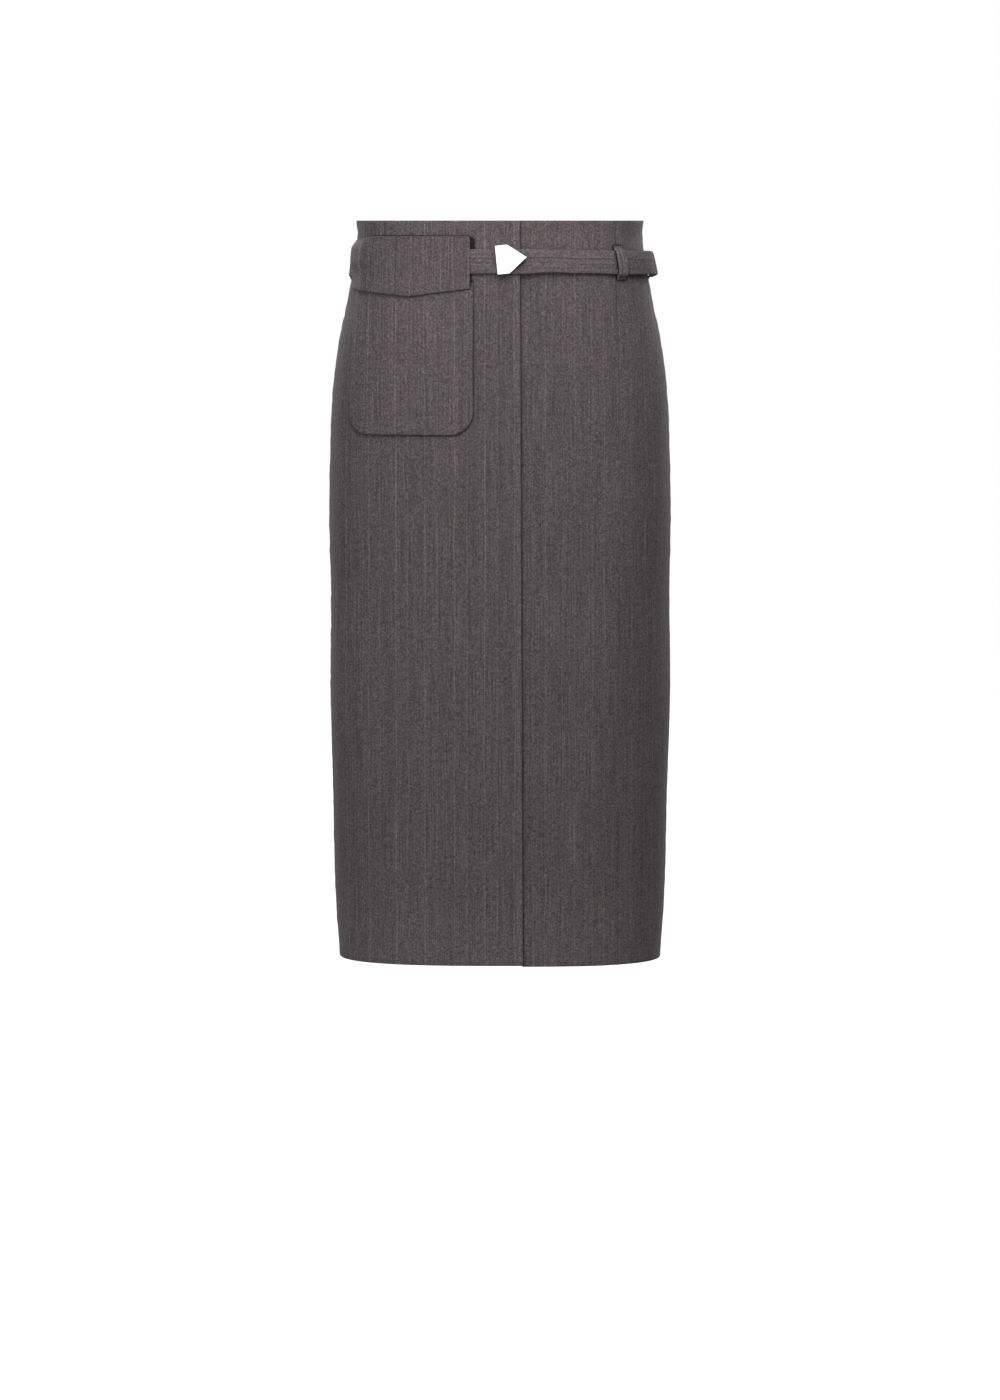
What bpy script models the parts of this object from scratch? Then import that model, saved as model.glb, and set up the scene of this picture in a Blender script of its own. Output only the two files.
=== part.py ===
"""A belted wrap skirt, filled out as it is worn: two overlapping front panels, a back, a patch pocket with a
flap, and a self-fabric belt with a metal plate.

Metres, +Z up, the front faces -Y, and +X is the right as seen from the front. The origin is the middle of the
waist at the height of the belt, which is where a wearer holds the skirt up.

A place on the cloth is given by its drop below the top edge and its turn round the body: 0 at the centre
front, 1 at the right side seam, -1 at the left side seam, and 2 or -2 at the centre back. Between these a turn
is a share of the cloth's own length round that quarter. A walk is that length itself: how far a place lies
from the centre front, or on the back from the centre back, measured round the body, positive to the right.
"""

import math

import bpy
import numpy as np
from mathutils import Vector

# Driving dimensions
LENGTH = 0.772  # centre front, top edge to hem
WAIST_DROP = 0.042  # top edge to the middle of the belt, which is the origin's height
WALL = 0.0016  # suiting, one layer with its turnings
SEAM_GAP = 0.0003  # between neighbouring pieces
LAY_GAP = 0.0005  # under a piece that lies on another

# The body of the skirt, a row for each level. Squareness 2 would be an ellipse.
SECTION_COLUMNS = ("drop", "half_width", "front", "back", "squareness")
SECTIONS = (
    (0.000, 0.1502, 0.0945, 0.0900, 2.50),  # top edge
    (0.016, 0.1488, 0.0940, 0.0905, 2.50),  # narrowest
    (0.043, 0.1524, 0.0960, 0.0940, 2.50),  # belt
    (0.083, 0.1595, 0.1005, 0.1020, 2.50),
    (0.125, 0.1684, 0.1045, 0.1105, 2.52),
    (0.188, 0.1760, 0.1075, 0.1190, 2.55),  # dart ends are above here
    (0.240, 0.1780, 0.1085, 0.1210, 2.58),  # seat
    (0.305, 0.1793, 0.1085, 0.1190, 2.60),  # hip
    (0.400, 0.1777, 0.1080, 0.1145, 2.62),
    (0.480, 0.1785, 0.1075, 0.1110, 2.65),
    (0.590, 0.1761, 0.1065, 0.1080, 2.68),
    (0.716, 0.1731, 0.1055, 0.1060, 2.70),
    (0.773, 0.1692, 0.1050, 0.1050, 2.70),  # hem
)
# Levels of the panels' points, closer where the waist curves into the hip
ROW_DROPS = (
    0.0, 0.008, 0.017, 0.029, 0.042, 0.055, 0.068, 0.083, 0.100, 0.118, 0.140,
    0.165, 0.195, 0.235, 0.285, 0.345, 0.415, 0.490, 0.570, 0.650, 0.715, 0.752,
)

# Wrap: the outer panel's free edge, and the inner panel behind it
WRAP_EDGE_TOP_WALK = 0.0205
WRAP_EDGE_HEM_WALK = 0.0238
UNDERLAP_WALK = -0.100  # where the inner panel ends, hidden
UNDER_DEPTH = WALL + 0.0006  # how far the inner panel lies behind the outer one
UNDER_FADE_WALKS = (0.030, 0.110)  # it comes level with the side seam between these
UNDER_LONGER = 0.0012  # the inner panel hangs this much lower

# Darts: a stitched groove, one on each side
DART_HALF = 0.003
DART_DEPTH = 0.0008
FRONT_DART_WALK = 0.1252
FRONT_DART_LENGTH = 0.114
BACK_DART_WALK = 0.078
BACK_DART_LENGTH = 0.135

# Belt
BELT_HEIGHT = 0.0250
BELT_THICK = 0.0020
BELT_JOIN_WALK = 0.006  # its two ends meet here, behind the plate
BELT_JOIN_GAP = 0.0006
# How far the belt stands off the cloth at its upper and lower edge, round the body
EASE_COLUMNS = ("turn", "top", "bottom")
BELT_EASE = (
    (-2.00, 0.0010, 0.0010),
    (-1.50, 0.0012, 0.0014),
    (-1.15, 0.0032, 0.0034),
    (-0.90, 0.0038, 0.0034),
    (-0.60, 0.0013, 0.0013),
    (-0.30, 0.0009, 0.0009),
    (0.00, 0.0009, 0.0010),
    (0.30, 0.0013, 0.0016),
    (0.72, 0.0036, 0.0042),
    (1.00, 0.0066, 0.0077),
    (1.35, 0.0030, 0.0040),
    (1.70, 0.0012, 0.0014),
    (2.00, 0.0010, 0.0010),
)

# Belt loops, sewn down above and below the belt
LOOP_COLUMNS = ("name", "turn")
LOOPS = (
    ("belt_loop_front", 0.629),  # just outside the right front dart
    ("belt_loop_right", 1.0),
    ("belt_loop_back_right", 1.58),
    ("belt_loop_back_left", -1.58),
    ("belt_loop_left", -1.0),
)
LOOP_WIDTH = 0.0115
LOOP_THICK = 0.0014
LOOP_TOP_DROP = 0.0255
LOOP_FOOT_DROP = 0.0612
LOOP_SEWN = 0.0022  # length of each sewn end
LOOP_RISE = 0.0035  # cloth between a sewn end and the belt

# Patch pocket: straight sides in the cloth, rounded lower corners
POCKET_RIGHT_WALK = -0.0277
POCKET_WIDTH = 0.1375  # round the body
POCKET_TOP_DROP = 0.0640
POCKET_BOTTOM_DROP = 0.2230
POCKET_CORNER = 0.024
POCKET_WALL = 0.0015
POCKET_FULLNESS = 0.0018  # how much further its middle stands off the panel

# Flap: sewn on above the belt
FLAP_RIGHT_WALK = -0.0306
FLAP_WIDTH = 0.1450  # round the body, a little past the pocket at the side
FLAP_TOP_DROP = 0.0154
FLAP_TOP_FALL = 0.0042  # its upper edge drops this much at the side
FLAP_FALL_SHARE = 0.3  # and starts to drop this far from the side, as a share of its width
FLAP_BOTTOM_DROP = 0.0710
FLAP_POINT = 0.0080  # the lower edge's point hangs this much lower
FLAP_POINT_SHARE = 0.565  # where the point is, from the side to the centre
FLAP_OVERHANG_WALKS = (-0.172, -0.165)  # past the pocket's edge it falls back towards the panel
FLAP_WALL = 0.0015

# Metal plate: flat at the left end, pointed at the right
PLATE_HEIGHT = 0.0302
PLATE_LENGTH = 0.0322
PLATE_FLAT = 0.0127  # length of its level edges
PLATE_THICK = 0.0024
PLATE_BEVEL = 0.0005
PLATE_CORNER = 0.0010
PLATE_LEFT = -0.0041
PLATE_DROP = 0.0408
PLATE_TILT = math.radians(5.5)

# Colours, as linear light
CLOTH = (0.095, 0.086, 0.088, 1.0)
CLOTH_PALE = (0.125, 0.115, 0.117, 1.0)
METAL = (0.83, 0.82, 0.81, 1.0)

QUARTER_STEPS = 240  # points that measure the length round a quarter
COLUMN_STEP = 0.0130  # usual distance between a panel's columns


def column(table, names, name):
    """The values of one named column."""
    return np.array([row[names.index(name)] for row in table])


def smooth(x, xs, ys):
    """A smooth curve through the points (xs, ys), with straight ends."""
    slopes = np.gradient(ys, xs)
    i = int(np.clip(np.searchsorted(xs, x) - 1, 0, len(xs) - 2))
    span = xs[i + 1] - xs[i]
    t = min(max((x - xs[i]) / span, 0.0), 1.0)
    return (
        (2 * t**3 - 3 * t**2 + 1) * ys[i]
        + (t**3 - 2 * t**2 + t) * span * slopes[i]
        + (3 * t**2 - 2 * t**3) * ys[i + 1]
        + (t**3 - t**2) * span * slopes[i + 1]
    )


def eased(x, low, high):
    """0 below low, 1 above high, and an S-curve between."""
    t = min(max((x - low) / (high - low), 0.0), 1.0)
    return t * t * (3 - 2 * t)


def level(drop):
    """(half width, front depth, back depth, squareness) at this drop."""
    drops = column(SECTIONS, SECTION_COLUMNS, "drop")
    return tuple(
        smooth(drop, drops, column(SECTIONS, SECTION_COLUMNS, name)) for name in SECTION_COLUMNS[1:]
    )


QUARTERS = {}


def quarter(drop, front):
    """Points from the centre line to the side seam, as x, depth and the length walked so far."""
    key = (round(drop, 6), front)
    if key not in QUARTERS:
        half_width, front_depth, back_depth, squareness = level(drop)
        angles = np.linspace(0.0, math.pi / 2, QUARTER_STEPS)
        x = half_width * np.sin(angles) ** (2 / squareness)
        depth = (front_depth if front else back_depth) * np.cos(angles) ** (2 / squareness)
        depth[-1] = 0.0
        walked = np.concatenate([[0.0], np.cumsum(np.hypot(np.diff(x), np.diff(depth)))])
        QUARTERS[key] = (x, depth, walked)
    return QUARTERS[key]


def girth(drop, front=True):
    """Length of cloth from a centre line to a side seam."""
    return quarter(drop, front)[2][-1]


def turn_at(walk, drop):
    """The turn of a place on the front."""
    return walk / girth(drop)


def around(turn, drop):
    """(x, y) on the section."""
    turn = (turn + 2.0) % 4.0 - 2.0
    front = abs(turn) <= 1.0
    xs, depths, walked = quarter(drop, front)
    share = abs(turn) if front else 2.0 - abs(turn)
    length = share * walked[-1]
    x = math.copysign(np.interp(length, walked, xs), turn)
    depth = np.interp(length, walked, depths)
    return x, -depth if front else depth


def cloth_point(turn, drop, out=0.0):
    """A point on the skirt, moved outwards by out."""
    step = 0.02
    ahead = Vector(around(turn + step, drop))
    behind = Vector(around(turn - step, drop))
    along = (ahead - behind).normalized()
    x, y = around(turn, drop)
    return Vector((x + along.y * out, y - along.x * out, WAIST_DROP - drop))


def belt_ease(turn, share):
    """How far the belt stands off at this turn, share 0 at its upper edge and 1 at its lower one."""
    turns = column(BELT_EASE, EASE_COLUMNS, "turn")
    top = smooth(turn, turns, column(BELT_EASE, EASE_COLUMNS, "top"))
    bottom = smooth(turn, turns, column(BELT_EASE, EASE_COLUMNS, "bottom"))
    return top + (bottom - top) * share


BELT_TOP_DROP = WAIST_DROP - BELT_HEIGHT / 2
BELT_FOOT_DROP = WAIST_DROP + BELT_HEIGHT / 2


def clear_of_belt(turn, drop):
    """How far out a piece over the belt has to lie."""
    share = min(max((drop - BELT_TOP_DROP) / BELT_HEIGHT, 0.0), 1.0)
    return belt_ease(turn, share) + BELT_THICK + LAY_GAP


def new_collection(name):
    collection = bpy.data.collections.new(name)
    bpy.context.scene.collection.children.link(collection)
    return collection


def material(name, color, roughness, metallic=0.0):
    made = bpy.data.materials.new(name)
    made.use_nodes = True
    shader = made.node_tree.nodes["Principled BSDF"]
    shader.inputs["Base Color"].default_value = color
    shader.inputs["Roughness"].default_value = roughness
    shader.inputs["Metallic"].default_value = metallic
    made.diffuse_color = color
    return made


def add_wall(name, rows, thickness, side, collection, finish):
    """A cloth wall: a surface through rows of points from the top down, thickened to one side.

    Side 1 thickens it outwards from the points, and -1 inwards.
    """
    width = len(rows[0])
    points = [point for row in rows for point in row]
    faces = []
    for i in range(len(rows) - 1):
        for j in range(width - 1):
            corner = i * width + j
            faces.append((corner, corner + width, corner + width + 1, corner + 1))
    mesh = bpy.data.meshes.new(name)
    mesh.from_pydata(points, [], faces)
    mesh.shade_smooth()
    mesh.materials.append(finish)
    obj = bpy.data.objects.new(name, mesh)
    collection.objects.link(obj)
    solidify = obj.modifiers.new("wall", "SOLIDIFY")
    solidify.thickness = thickness
    solidify.offset = side
    solidify.use_even_offset = True
    return obj


def columns_between(guides, drop, step=COLUMN_STEP):
    """Turns across a panel. Guides are lines that its columns follow, each a function of drop."""
    turns = []
    for left, right in zip(guides, guides[1:]):
        widest = (right(LENGTH / 3) - left(LENGTH / 3)) * girth(LENGTH / 3)
        count = max(1, round(widest / step))
        turns += [left(drop) + (right(drop) - left(drop)) * k / count for k in range(count)]
    return turns + [guides[-1](drop)]


def dart_guides(turn_of):
    """Three lines, at a dart's middle and its two sides."""
    return [
        lambda drop, shift=shift: turn_of(drop) + shift * DART_HALF / girth(drop)
        for shift in (-1.0, 0.0, 1.0)
    ]


def dart_groove(turn, drop, middle, length):
    """How far a dart draws the cloth in at this place."""
    away = abs(turn - middle(drop)) * girth(drop) / DART_HALF
    return DART_DEPTH * max(0.0, 1.0 - away) * (1.0 - eased(drop, 0.6 * length, length))


def panel_rows(guides, out, longer=0.0):
    """Rows of points for a full-length panel."""
    rows = []
    for drop in ROW_DROPS + (LENGTH + longer,):
        rows.append([cloth_point(turn, drop, out(turn, drop)) for turn in columns_between(guides, drop)])
    return rows


def wrap_edge(drop):
    walk = WRAP_EDGE_TOP_WALK + (WRAP_EDGE_HEM_WALK - WRAP_EDGE_TOP_WALK) * drop / LENGTH
    return turn_at(walk, drop)


def add_front_wrap(collection, finish):
    def dart(drop):
        return turn_at(-FRONT_DART_WALK, drop)

    def left(drop):
        return turn_at(SEAM_GAP / 2, drop) - 1.0

    def out(turn, drop):
        return -dart_groove(turn, drop, dart, FRONT_DART_LENGTH)

    rows = panel_rows([left, *dart_guides(dart), wrap_edge], out)
    return add_wall("front_wrap", rows, WALL, -1, collection, finish)


def add_front_under(collection, finish):
    def dart(drop):
        return turn_at(FRONT_DART_WALK, drop)

    def left(drop):
        return turn_at(UNDERLAP_WALK, drop)

    def fade_start(drop):
        return turn_at(UNDER_FADE_WALKS[0], drop)

    def right(drop):
        return 1.0 - turn_at(SEAM_GAP / 2, drop)

    def out(turn, drop):
        low, high = (turn_at(walk, drop) for walk in UNDER_FADE_WALKS)
        sunk = UNDER_DEPTH * (1.0 - eased(turn, low, high))
        return -sunk - dart_groove(turn, drop, dart, FRONT_DART_LENGTH)

    rows = panel_rows([left, fade_start, *dart_guides(dart), right], out, UNDER_LONGER)
    return add_wall("front_under", rows, WALL, -1, collection, finish)


def add_back(collection, finish):
    def back_turn(walk, drop):
        return 2.0 - walk / girth(drop, False)

    def right_dart(drop):
        return back_turn(BACK_DART_WALK, drop)

    def left_dart(drop):
        return back_turn(-BACK_DART_WALK, drop)

    def right(drop):
        return back_turn(girth(drop, False) - SEAM_GAP / 2, drop)

    def left(drop):
        return back_turn(SEAM_GAP / 2 - girth(drop, False), drop)

    def out(turn, drop):
        return -max(dart_groove(turn, drop, dart, BACK_DART_LENGTH) for dart in (right_dart, left_dart))

    guides = [right, *dart_guides(right_dart), *dart_guides(left_dart), left]
    return add_wall("back", panel_rows(guides, out), WALL, -1, collection, finish)


def pocket_out(walk, drop):
    """How far the pocket's inner face stands off the panel. It is full at its mouth and flat at its edges."""
    across = (POCKET_RIGHT_WALK - walk) / POCKET_WIDTH
    down = (drop - POCKET_TOP_DROP) / (POCKET_BOTTOM_DROP - POCKET_TOP_DROP)
    if not 0.0 < across < 1.0:
        return LAY_GAP
    fullness = math.sin(math.pi * across) * math.cos(math.pi / 2 * min(max(down, 0.0), 1.0))
    return LAY_GAP + POCKET_FULLNESS * max(fullness, 0.0) ** 0.6


def add_pocket(collection, finish):
    straight = POCKET_BOTTOM_DROP - POCKET_TOP_DROP - POCKET_CORNER
    levels, corner_levels, columns = 7, 5, 15
    downs = [straight * k / levels for k in range(levels)]
    downs += [
        straight + POCKET_CORNER * math.sin(math.pi / 2 * k / corner_levels)
        for k in range(corner_levels + 1)
    ]
    rows = []
    for down in downs:
        drop = POCKET_TOP_DROP + down
        below = max(0.0, down - straight)
        pulled_in = POCKET_CORNER - math.sqrt(max(POCKET_CORNER**2 - below**2, 0.0))
        left = POCKET_RIGHT_WALK - POCKET_WIDTH + pulled_in
        width = POCKET_WIDTH - 2 * pulled_in
        walks = [left + width * k / columns for k in range(columns + 1)]
        rows.append([cloth_point(turn_at(walk, drop), drop, pocket_out(walk, drop)) for walk in walks])
    return add_wall("pocket", rows, POCKET_WALL, 1, collection, finish)


def flap_out(walk, drop, top):
    """How far the flap's inner face stands off: sewn down at its top, over the belt, then on the pocket."""
    over_belt = clear_of_belt(turn_at(walk, drop), drop)
    over_pocket = pocket_out(walk, drop) + POCKET_WALL + LAY_GAP
    fallen = LAY_GAP + POCKET_WALL
    over_pocket = fallen + (over_pocket - fallen) * eased(walk, *FLAP_OVERHANG_WALKS)
    out = over_belt + (over_pocket - over_belt) * eased(drop, BELT_FOOT_DROP, POCKET_TOP_DROP)
    return LAY_GAP + (out - LAY_GAP) * eased(drop, top, BELT_TOP_DROP - LAY_GAP)


def add_flap(collection, finish):
    columns, levels = 19, 12
    rows = []
    for i in range(levels + 1):
        row = []
        for k in range(columns + 1):
            across = k / columns  # from the side towards the centre
            point_side = FLAP_POINT_SHARE if across < FLAP_POINT_SHARE else 1 - FLAP_POINT_SHARE
            to_point = 1 - abs(across - FLAP_POINT_SHARE) / point_side
            top = FLAP_TOP_DROP + FLAP_TOP_FALL * (1 - eased(across, 0.0, FLAP_FALL_SHARE))
            bottom = FLAP_BOTTOM_DROP + FLAP_POINT * to_point
            drop = top + (bottom - top) * i / levels
            walk = FLAP_RIGHT_WALK - FLAP_WIDTH * (1 - across)
            row.append(cloth_point(turn_at(walk, drop), drop, flap_out(walk, drop, top)))
        rows.append(row)
    return add_wall("pocket_flap", rows, FLAP_WALL, 1, collection, finish)


def add_belt(collection, finish):
    start = turn_at(BELT_JOIN_WALK, WAIST_DROP)
    gap = turn_at(BELT_JOIN_GAP, WAIST_DROP)
    columns, levels = 90, 2
    rows = []
    for i in range(levels + 1):
        drop = BELT_TOP_DROP + BELT_HEIGHT * i / levels
        row = []
        for k in range(columns + 1):
            turn = start + gap / 2 + (4.0 - gap) * k / columns
            wrapped = (turn + 2.0) % 4.0 - 2.0
            row.append(cloth_point(turn, drop, belt_ease(wrapped, i / levels)))
        rows.append(row)
    return add_wall("belt", rows, BELT_THICK, 1, collection, finish)


def loop_profile():
    """Rows of (drop, share) down a belt loop. Share 0 lies on the panel and 1 over the belt."""
    sewn_from = LOOP_FOOT_DROP - LOOP_SEWN
    return (
        (LOOP_TOP_DROP, 0.0),
        (LOOP_TOP_DROP + 0.3 * LOOP_RISE, 0.35),
        (BELT_TOP_DROP - LAY_GAP, 1.0),
        (BELT_TOP_DROP + 0.3 * BELT_HEIGHT, 1.0),
        (WAIST_DROP, 1.0),
        (BELT_TOP_DROP + 0.75 * BELT_HEIGHT, 1.0),
        (BELT_FOOT_DROP + LAY_GAP, 1.0),
        (sewn_from - 0.3 * LOOP_RISE, 0.2),
        (sewn_from, 0.0),
        (LOOP_FOOT_DROP, 0.0),
    )


def add_loop(name, turn, collection, finish):
    """A belt loop: sewn down at its top, over the belt, and sewn down at its foot."""
    rows = []
    for drop, share in loop_profile():
        row = []
        for across in np.linspace(-0.5, 0.5, 4):
            place = turn + across * LOOP_WIDTH / girth(drop)
            out = LAY_GAP + (clear_of_belt(place, drop) - LAY_GAP) * share
            row.append(cloth_point(place, drop, out))
        rows.append(row)
    return add_wall(name, rows, LOOP_THICK, 1, collection, finish)


def plate_outline():
    """The plate's corners, each rounded, going round it from the lower left."""
    half = PLATE_HEIGHT / 2
    corners = [(0.0, -half), (PLATE_FLAT, -half), (PLATE_LENGTH, 0.0), (PLATE_FLAT, half), (0.0, half)]
    outline = []
    for i, corner in enumerate(corners):
        here = Vector(corner)
        before = (Vector(corners[i - 1]) - here).normalized() * PLATE_CORNER
        after = (Vector(corners[(i + 1) % len(corners)]) - here).normalized() * PLATE_CORNER
        for t in (0.0, 0.33, 0.67, 1.0):
            outline.append(here + before * (1 - t) ** 2 + after * t**2)
    return outline


def add_plate(collection, finish):
    """The metal plate, upright in front of the belt and turned a little."""
    curve = bpy.data.curves.new("belt_plate", "CURVE")
    curve.dimensions = "2D"
    curve.fill_mode = "BOTH"
    curve.extrude = PLATE_THICK / 2 - PLATE_BEVEL
    curve.bevel_depth = PLATE_BEVEL
    curve.bevel_resolution = 1
    curve.offset = -PLATE_BEVEL
    spline = curve.splines.new("POLY")
    outline = plate_outline()
    spline.points.add(len(outline) - 1)
    for point, place in zip(spline.points, outline):
        point.co = (place.x, place.y, 0.0, 1.0)
    spline.use_cyclic_u = True
    curve.materials.append(finish)
    plate = bpy.data.objects.new("belt_plate", curve)
    front = cloth_point(0.0, BELT_FOOT_DROP, belt_ease(0.0, 1.0) + BELT_THICK).y
    plate.location = (PLATE_LEFT, front - LAY_GAP - PLATE_THICK / 2, WAIST_DROP - PLATE_DROP)
    plate.rotation_euler = (math.pi / 2, -PLATE_TILT, 0.0)
    collection.objects.link(plate)
    return plate


def build():
    for obj in list(bpy.data.objects):
        bpy.data.objects.remove(obj, do_unlink=True)
    skirt = new_collection("wrap_skirt")
    suiting = material("suiting", CLOTH, 0.85)
    belting = material("belting", CLOTH_PALE, 0.85)
    metal = material("polished_metal", METAL, 0.15, 1.0)
    add_front_wrap(skirt, suiting)
    add_front_under(skirt, suiting)
    add_back(skirt, suiting)
    add_pocket(skirt, suiting)
    add_flap(skirt, suiting)
    add_belt(skirt, belting)
    for name, turn in LOOPS:
        add_loop(name, turn, skirt, belting)
    add_plate(skirt, metal)


build()
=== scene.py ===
import math

import bpy
import numpy as np
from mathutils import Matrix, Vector


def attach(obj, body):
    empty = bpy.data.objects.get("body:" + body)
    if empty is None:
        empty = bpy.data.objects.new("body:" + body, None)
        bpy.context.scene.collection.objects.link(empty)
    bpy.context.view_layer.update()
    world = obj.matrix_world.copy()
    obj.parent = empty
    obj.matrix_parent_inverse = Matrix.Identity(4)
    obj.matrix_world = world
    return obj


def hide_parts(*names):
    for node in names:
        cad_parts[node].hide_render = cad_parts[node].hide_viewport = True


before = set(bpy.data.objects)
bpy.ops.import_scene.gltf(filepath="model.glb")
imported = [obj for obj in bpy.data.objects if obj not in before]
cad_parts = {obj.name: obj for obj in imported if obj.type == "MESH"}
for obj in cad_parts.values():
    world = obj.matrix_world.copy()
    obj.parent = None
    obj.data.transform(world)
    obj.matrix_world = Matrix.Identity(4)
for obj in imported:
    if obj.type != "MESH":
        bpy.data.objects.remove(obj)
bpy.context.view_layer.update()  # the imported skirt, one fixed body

# A place on the cloth is a turn round the body and a drop below the top edge: turn 0 is the centre front,
# 1 the right side seam, -1 the left one, 2 or -2 the centre back. A walk is the length of cloth from the
# centre front to a place, plus to the right. Everything is in metres.

skirtForm = {
    "length": 0.772,
    "waistDrop": 0.042,  # top edge to the middle of the belt
    "wall": 0.0016,
    "seamGap": -0.0002,  # the panels' edges just meet
    "layGap": 0.0005,  # under a piece that lies on another
    "sections": (  # drop, half width, front depth, back depth, squareness
        (0.000, 0.1502, 0.0945, 0.0900, 2.50),
        (0.016, 0.1488, 0.0940, 0.0905, 2.50),
        (0.043, 0.1524, 0.0960, 0.0940, 2.50),
        (0.083, 0.1595, 0.1005, 0.1020, 2.50),
        (0.125, 0.1684, 0.1045, 0.1105, 2.52),
        (0.188, 0.1760, 0.1075, 0.1190, 2.55),
        (0.240, 0.1780, 0.1085, 0.1210, 2.58),
        (0.305, 0.1793, 0.1085, 0.1190, 2.60),
        (0.400, 0.1777, 0.1080, 0.1145, 2.62),
        (0.480, 0.1785, 0.1075, 0.1110, 2.65),
        (0.590, 0.1761, 0.1065, 0.1080, 2.68),
        (0.716, 0.1731, 0.1055, 0.1060, 2.70),
        (0.773, 0.1692, 0.1050, 0.1050, 2.70),
    ),
    "levelStep": 0.001,
    "quarterColumns": 400,
}


def smoothCurve(x, xs, ys):
    xs = np.asarray(xs, float)
    ys = np.asarray(ys, float)
    slopes = np.gradient(ys, xs)
    i = np.clip(np.searchsorted(xs, x) - 1, 0, len(xs) - 2)
    span = xs[i + 1] - xs[i]
    t = np.clip((x - xs[i]) / span, 0.0, 1.0)
    return (
        (2 * t**3 - 3 * t**2 + 1) * ys[i]
        + (t**3 - 2 * t**2 + t) * span * slopes[i]
        + (3 * t**2 - 2 * t**3) * ys[i + 1]
        + (t**3 - t**2) * span * slopes[i + 1]
    )


def eased(x, low, high):
    t = np.clip((x - low) / (high - low), 0.0, 1.0)
    return t * t * (3 - 2 * t)


def between(x, start, full, fading, end):
    # 0 before start, 1 from full to fading, and 0 again past end
    return eased(x, start, full) * (1 - eased(x, fading, end))


def bell(x, halfWidth):
    return np.exp(-((x / halfWidth) ** 2))


def cornerGap(across, down):
    # distance from a corner at 0, 0, with a minus inside it
    return np.hypot(np.maximum(across, 0), np.maximum(down, 0)) + np.minimum(np.maximum(across, down), 0)


def shortTurn(turn):
    # the same place, as a turn from -2 to 2
    return (turn + 2.0) % 4.0 - 2.0


def measureForm():
    rows = np.array(skirtForm["sections"])
    columns = skirtForm["quarterColumns"]
    drops = np.arange(-0.005, skirtForm["length"] + 0.012, skirtForm["levelStep"])
    halfWidth, front, back, squareness = (smoothCurve(drops, rows[:, 0], rows[:, k]) for k in range(1, 5))
    angles = np.linspace(0.0, math.pi / 2, columns + 1)
    shares = np.linspace(0.0, 1.0, columns + 1)
    across = np.empty((len(drops), 4 * columns + 1))
    deep = np.empty_like(across)
    girths = np.empty((len(drops), 2))
    for i in range(len(drops)):
        x = halfWidth[i] * np.sin(angles) ** (2 / squareness[i])
        halves = []
        for k, depth in enumerate((front[i], back[i])):
            y = depth * np.maximum(np.cos(angles), 0.0) ** (2 / squareness[i])
            y[-1] = 0.0
            walked = np.concatenate([[0.0], np.cumsum(np.hypot(np.diff(x), np.diff(y)))])
            girths[i, k] = walked[-1]
            places = shares * walked[-1]
            halves.append((np.interp(places, walked, x), np.interp(places, walked, y)))
        (frontX, frontY), (backX, backY) = halves
        right = np.concatenate([frontX, backX[-2::-1]])
        rightDeep = np.concatenate([-frontY, backY[-2::-1]])
        across[i] = np.concatenate([-right[:0:-1], right])
        deep[i] = np.concatenate([rightDeep[:0:-1], rightDeep])
    return drops, across, deep, girths


formDrops, formAcross, formDeep, formGirths = measureForm()


def girth(drop, front=True):
    return np.interp(drop, formDrops, formGirths[:, 0 if front else 1])


def around(turn, drop):
    turn = (np.asarray(turn, float) + 2.0) % 4.0
    column = turn * skirtForm["quarterColumns"]
    row = (np.asarray(drop, float) - formDrops[0]) / skirtForm["levelStep"]
    left = np.clip(column.astype(int), 0, formAcross.shape[1] - 2)
    upper = np.clip(row.astype(int), 0, formAcross.shape[0] - 2)
    acrossShare = column - left
    downShare = row - upper

    def read(table):
        top = table[upper, left] * (1 - acrossShare) + table[upper, left + 1] * acrossShare
        foot = table[upper + 1, left] * (1 - acrossShare) + table[upper + 1, left + 1] * acrossShare
        return top * (1 - downShare) + foot * downShare

    return read(formAcross), read(formDeep)


def outward(turn, drop):
    # square to the body's outline, which is measured between two places beside this one
    apart = 0.02
    aheadX, aheadY = around(turn + apart, drop)
    behindX, behindY = around(turn - apart, drop)
    alongX, alongY = aheadX - behindX, aheadY - behindY
    length = np.hypot(alongX, alongY)
    return alongY / length, -alongX / length


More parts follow.
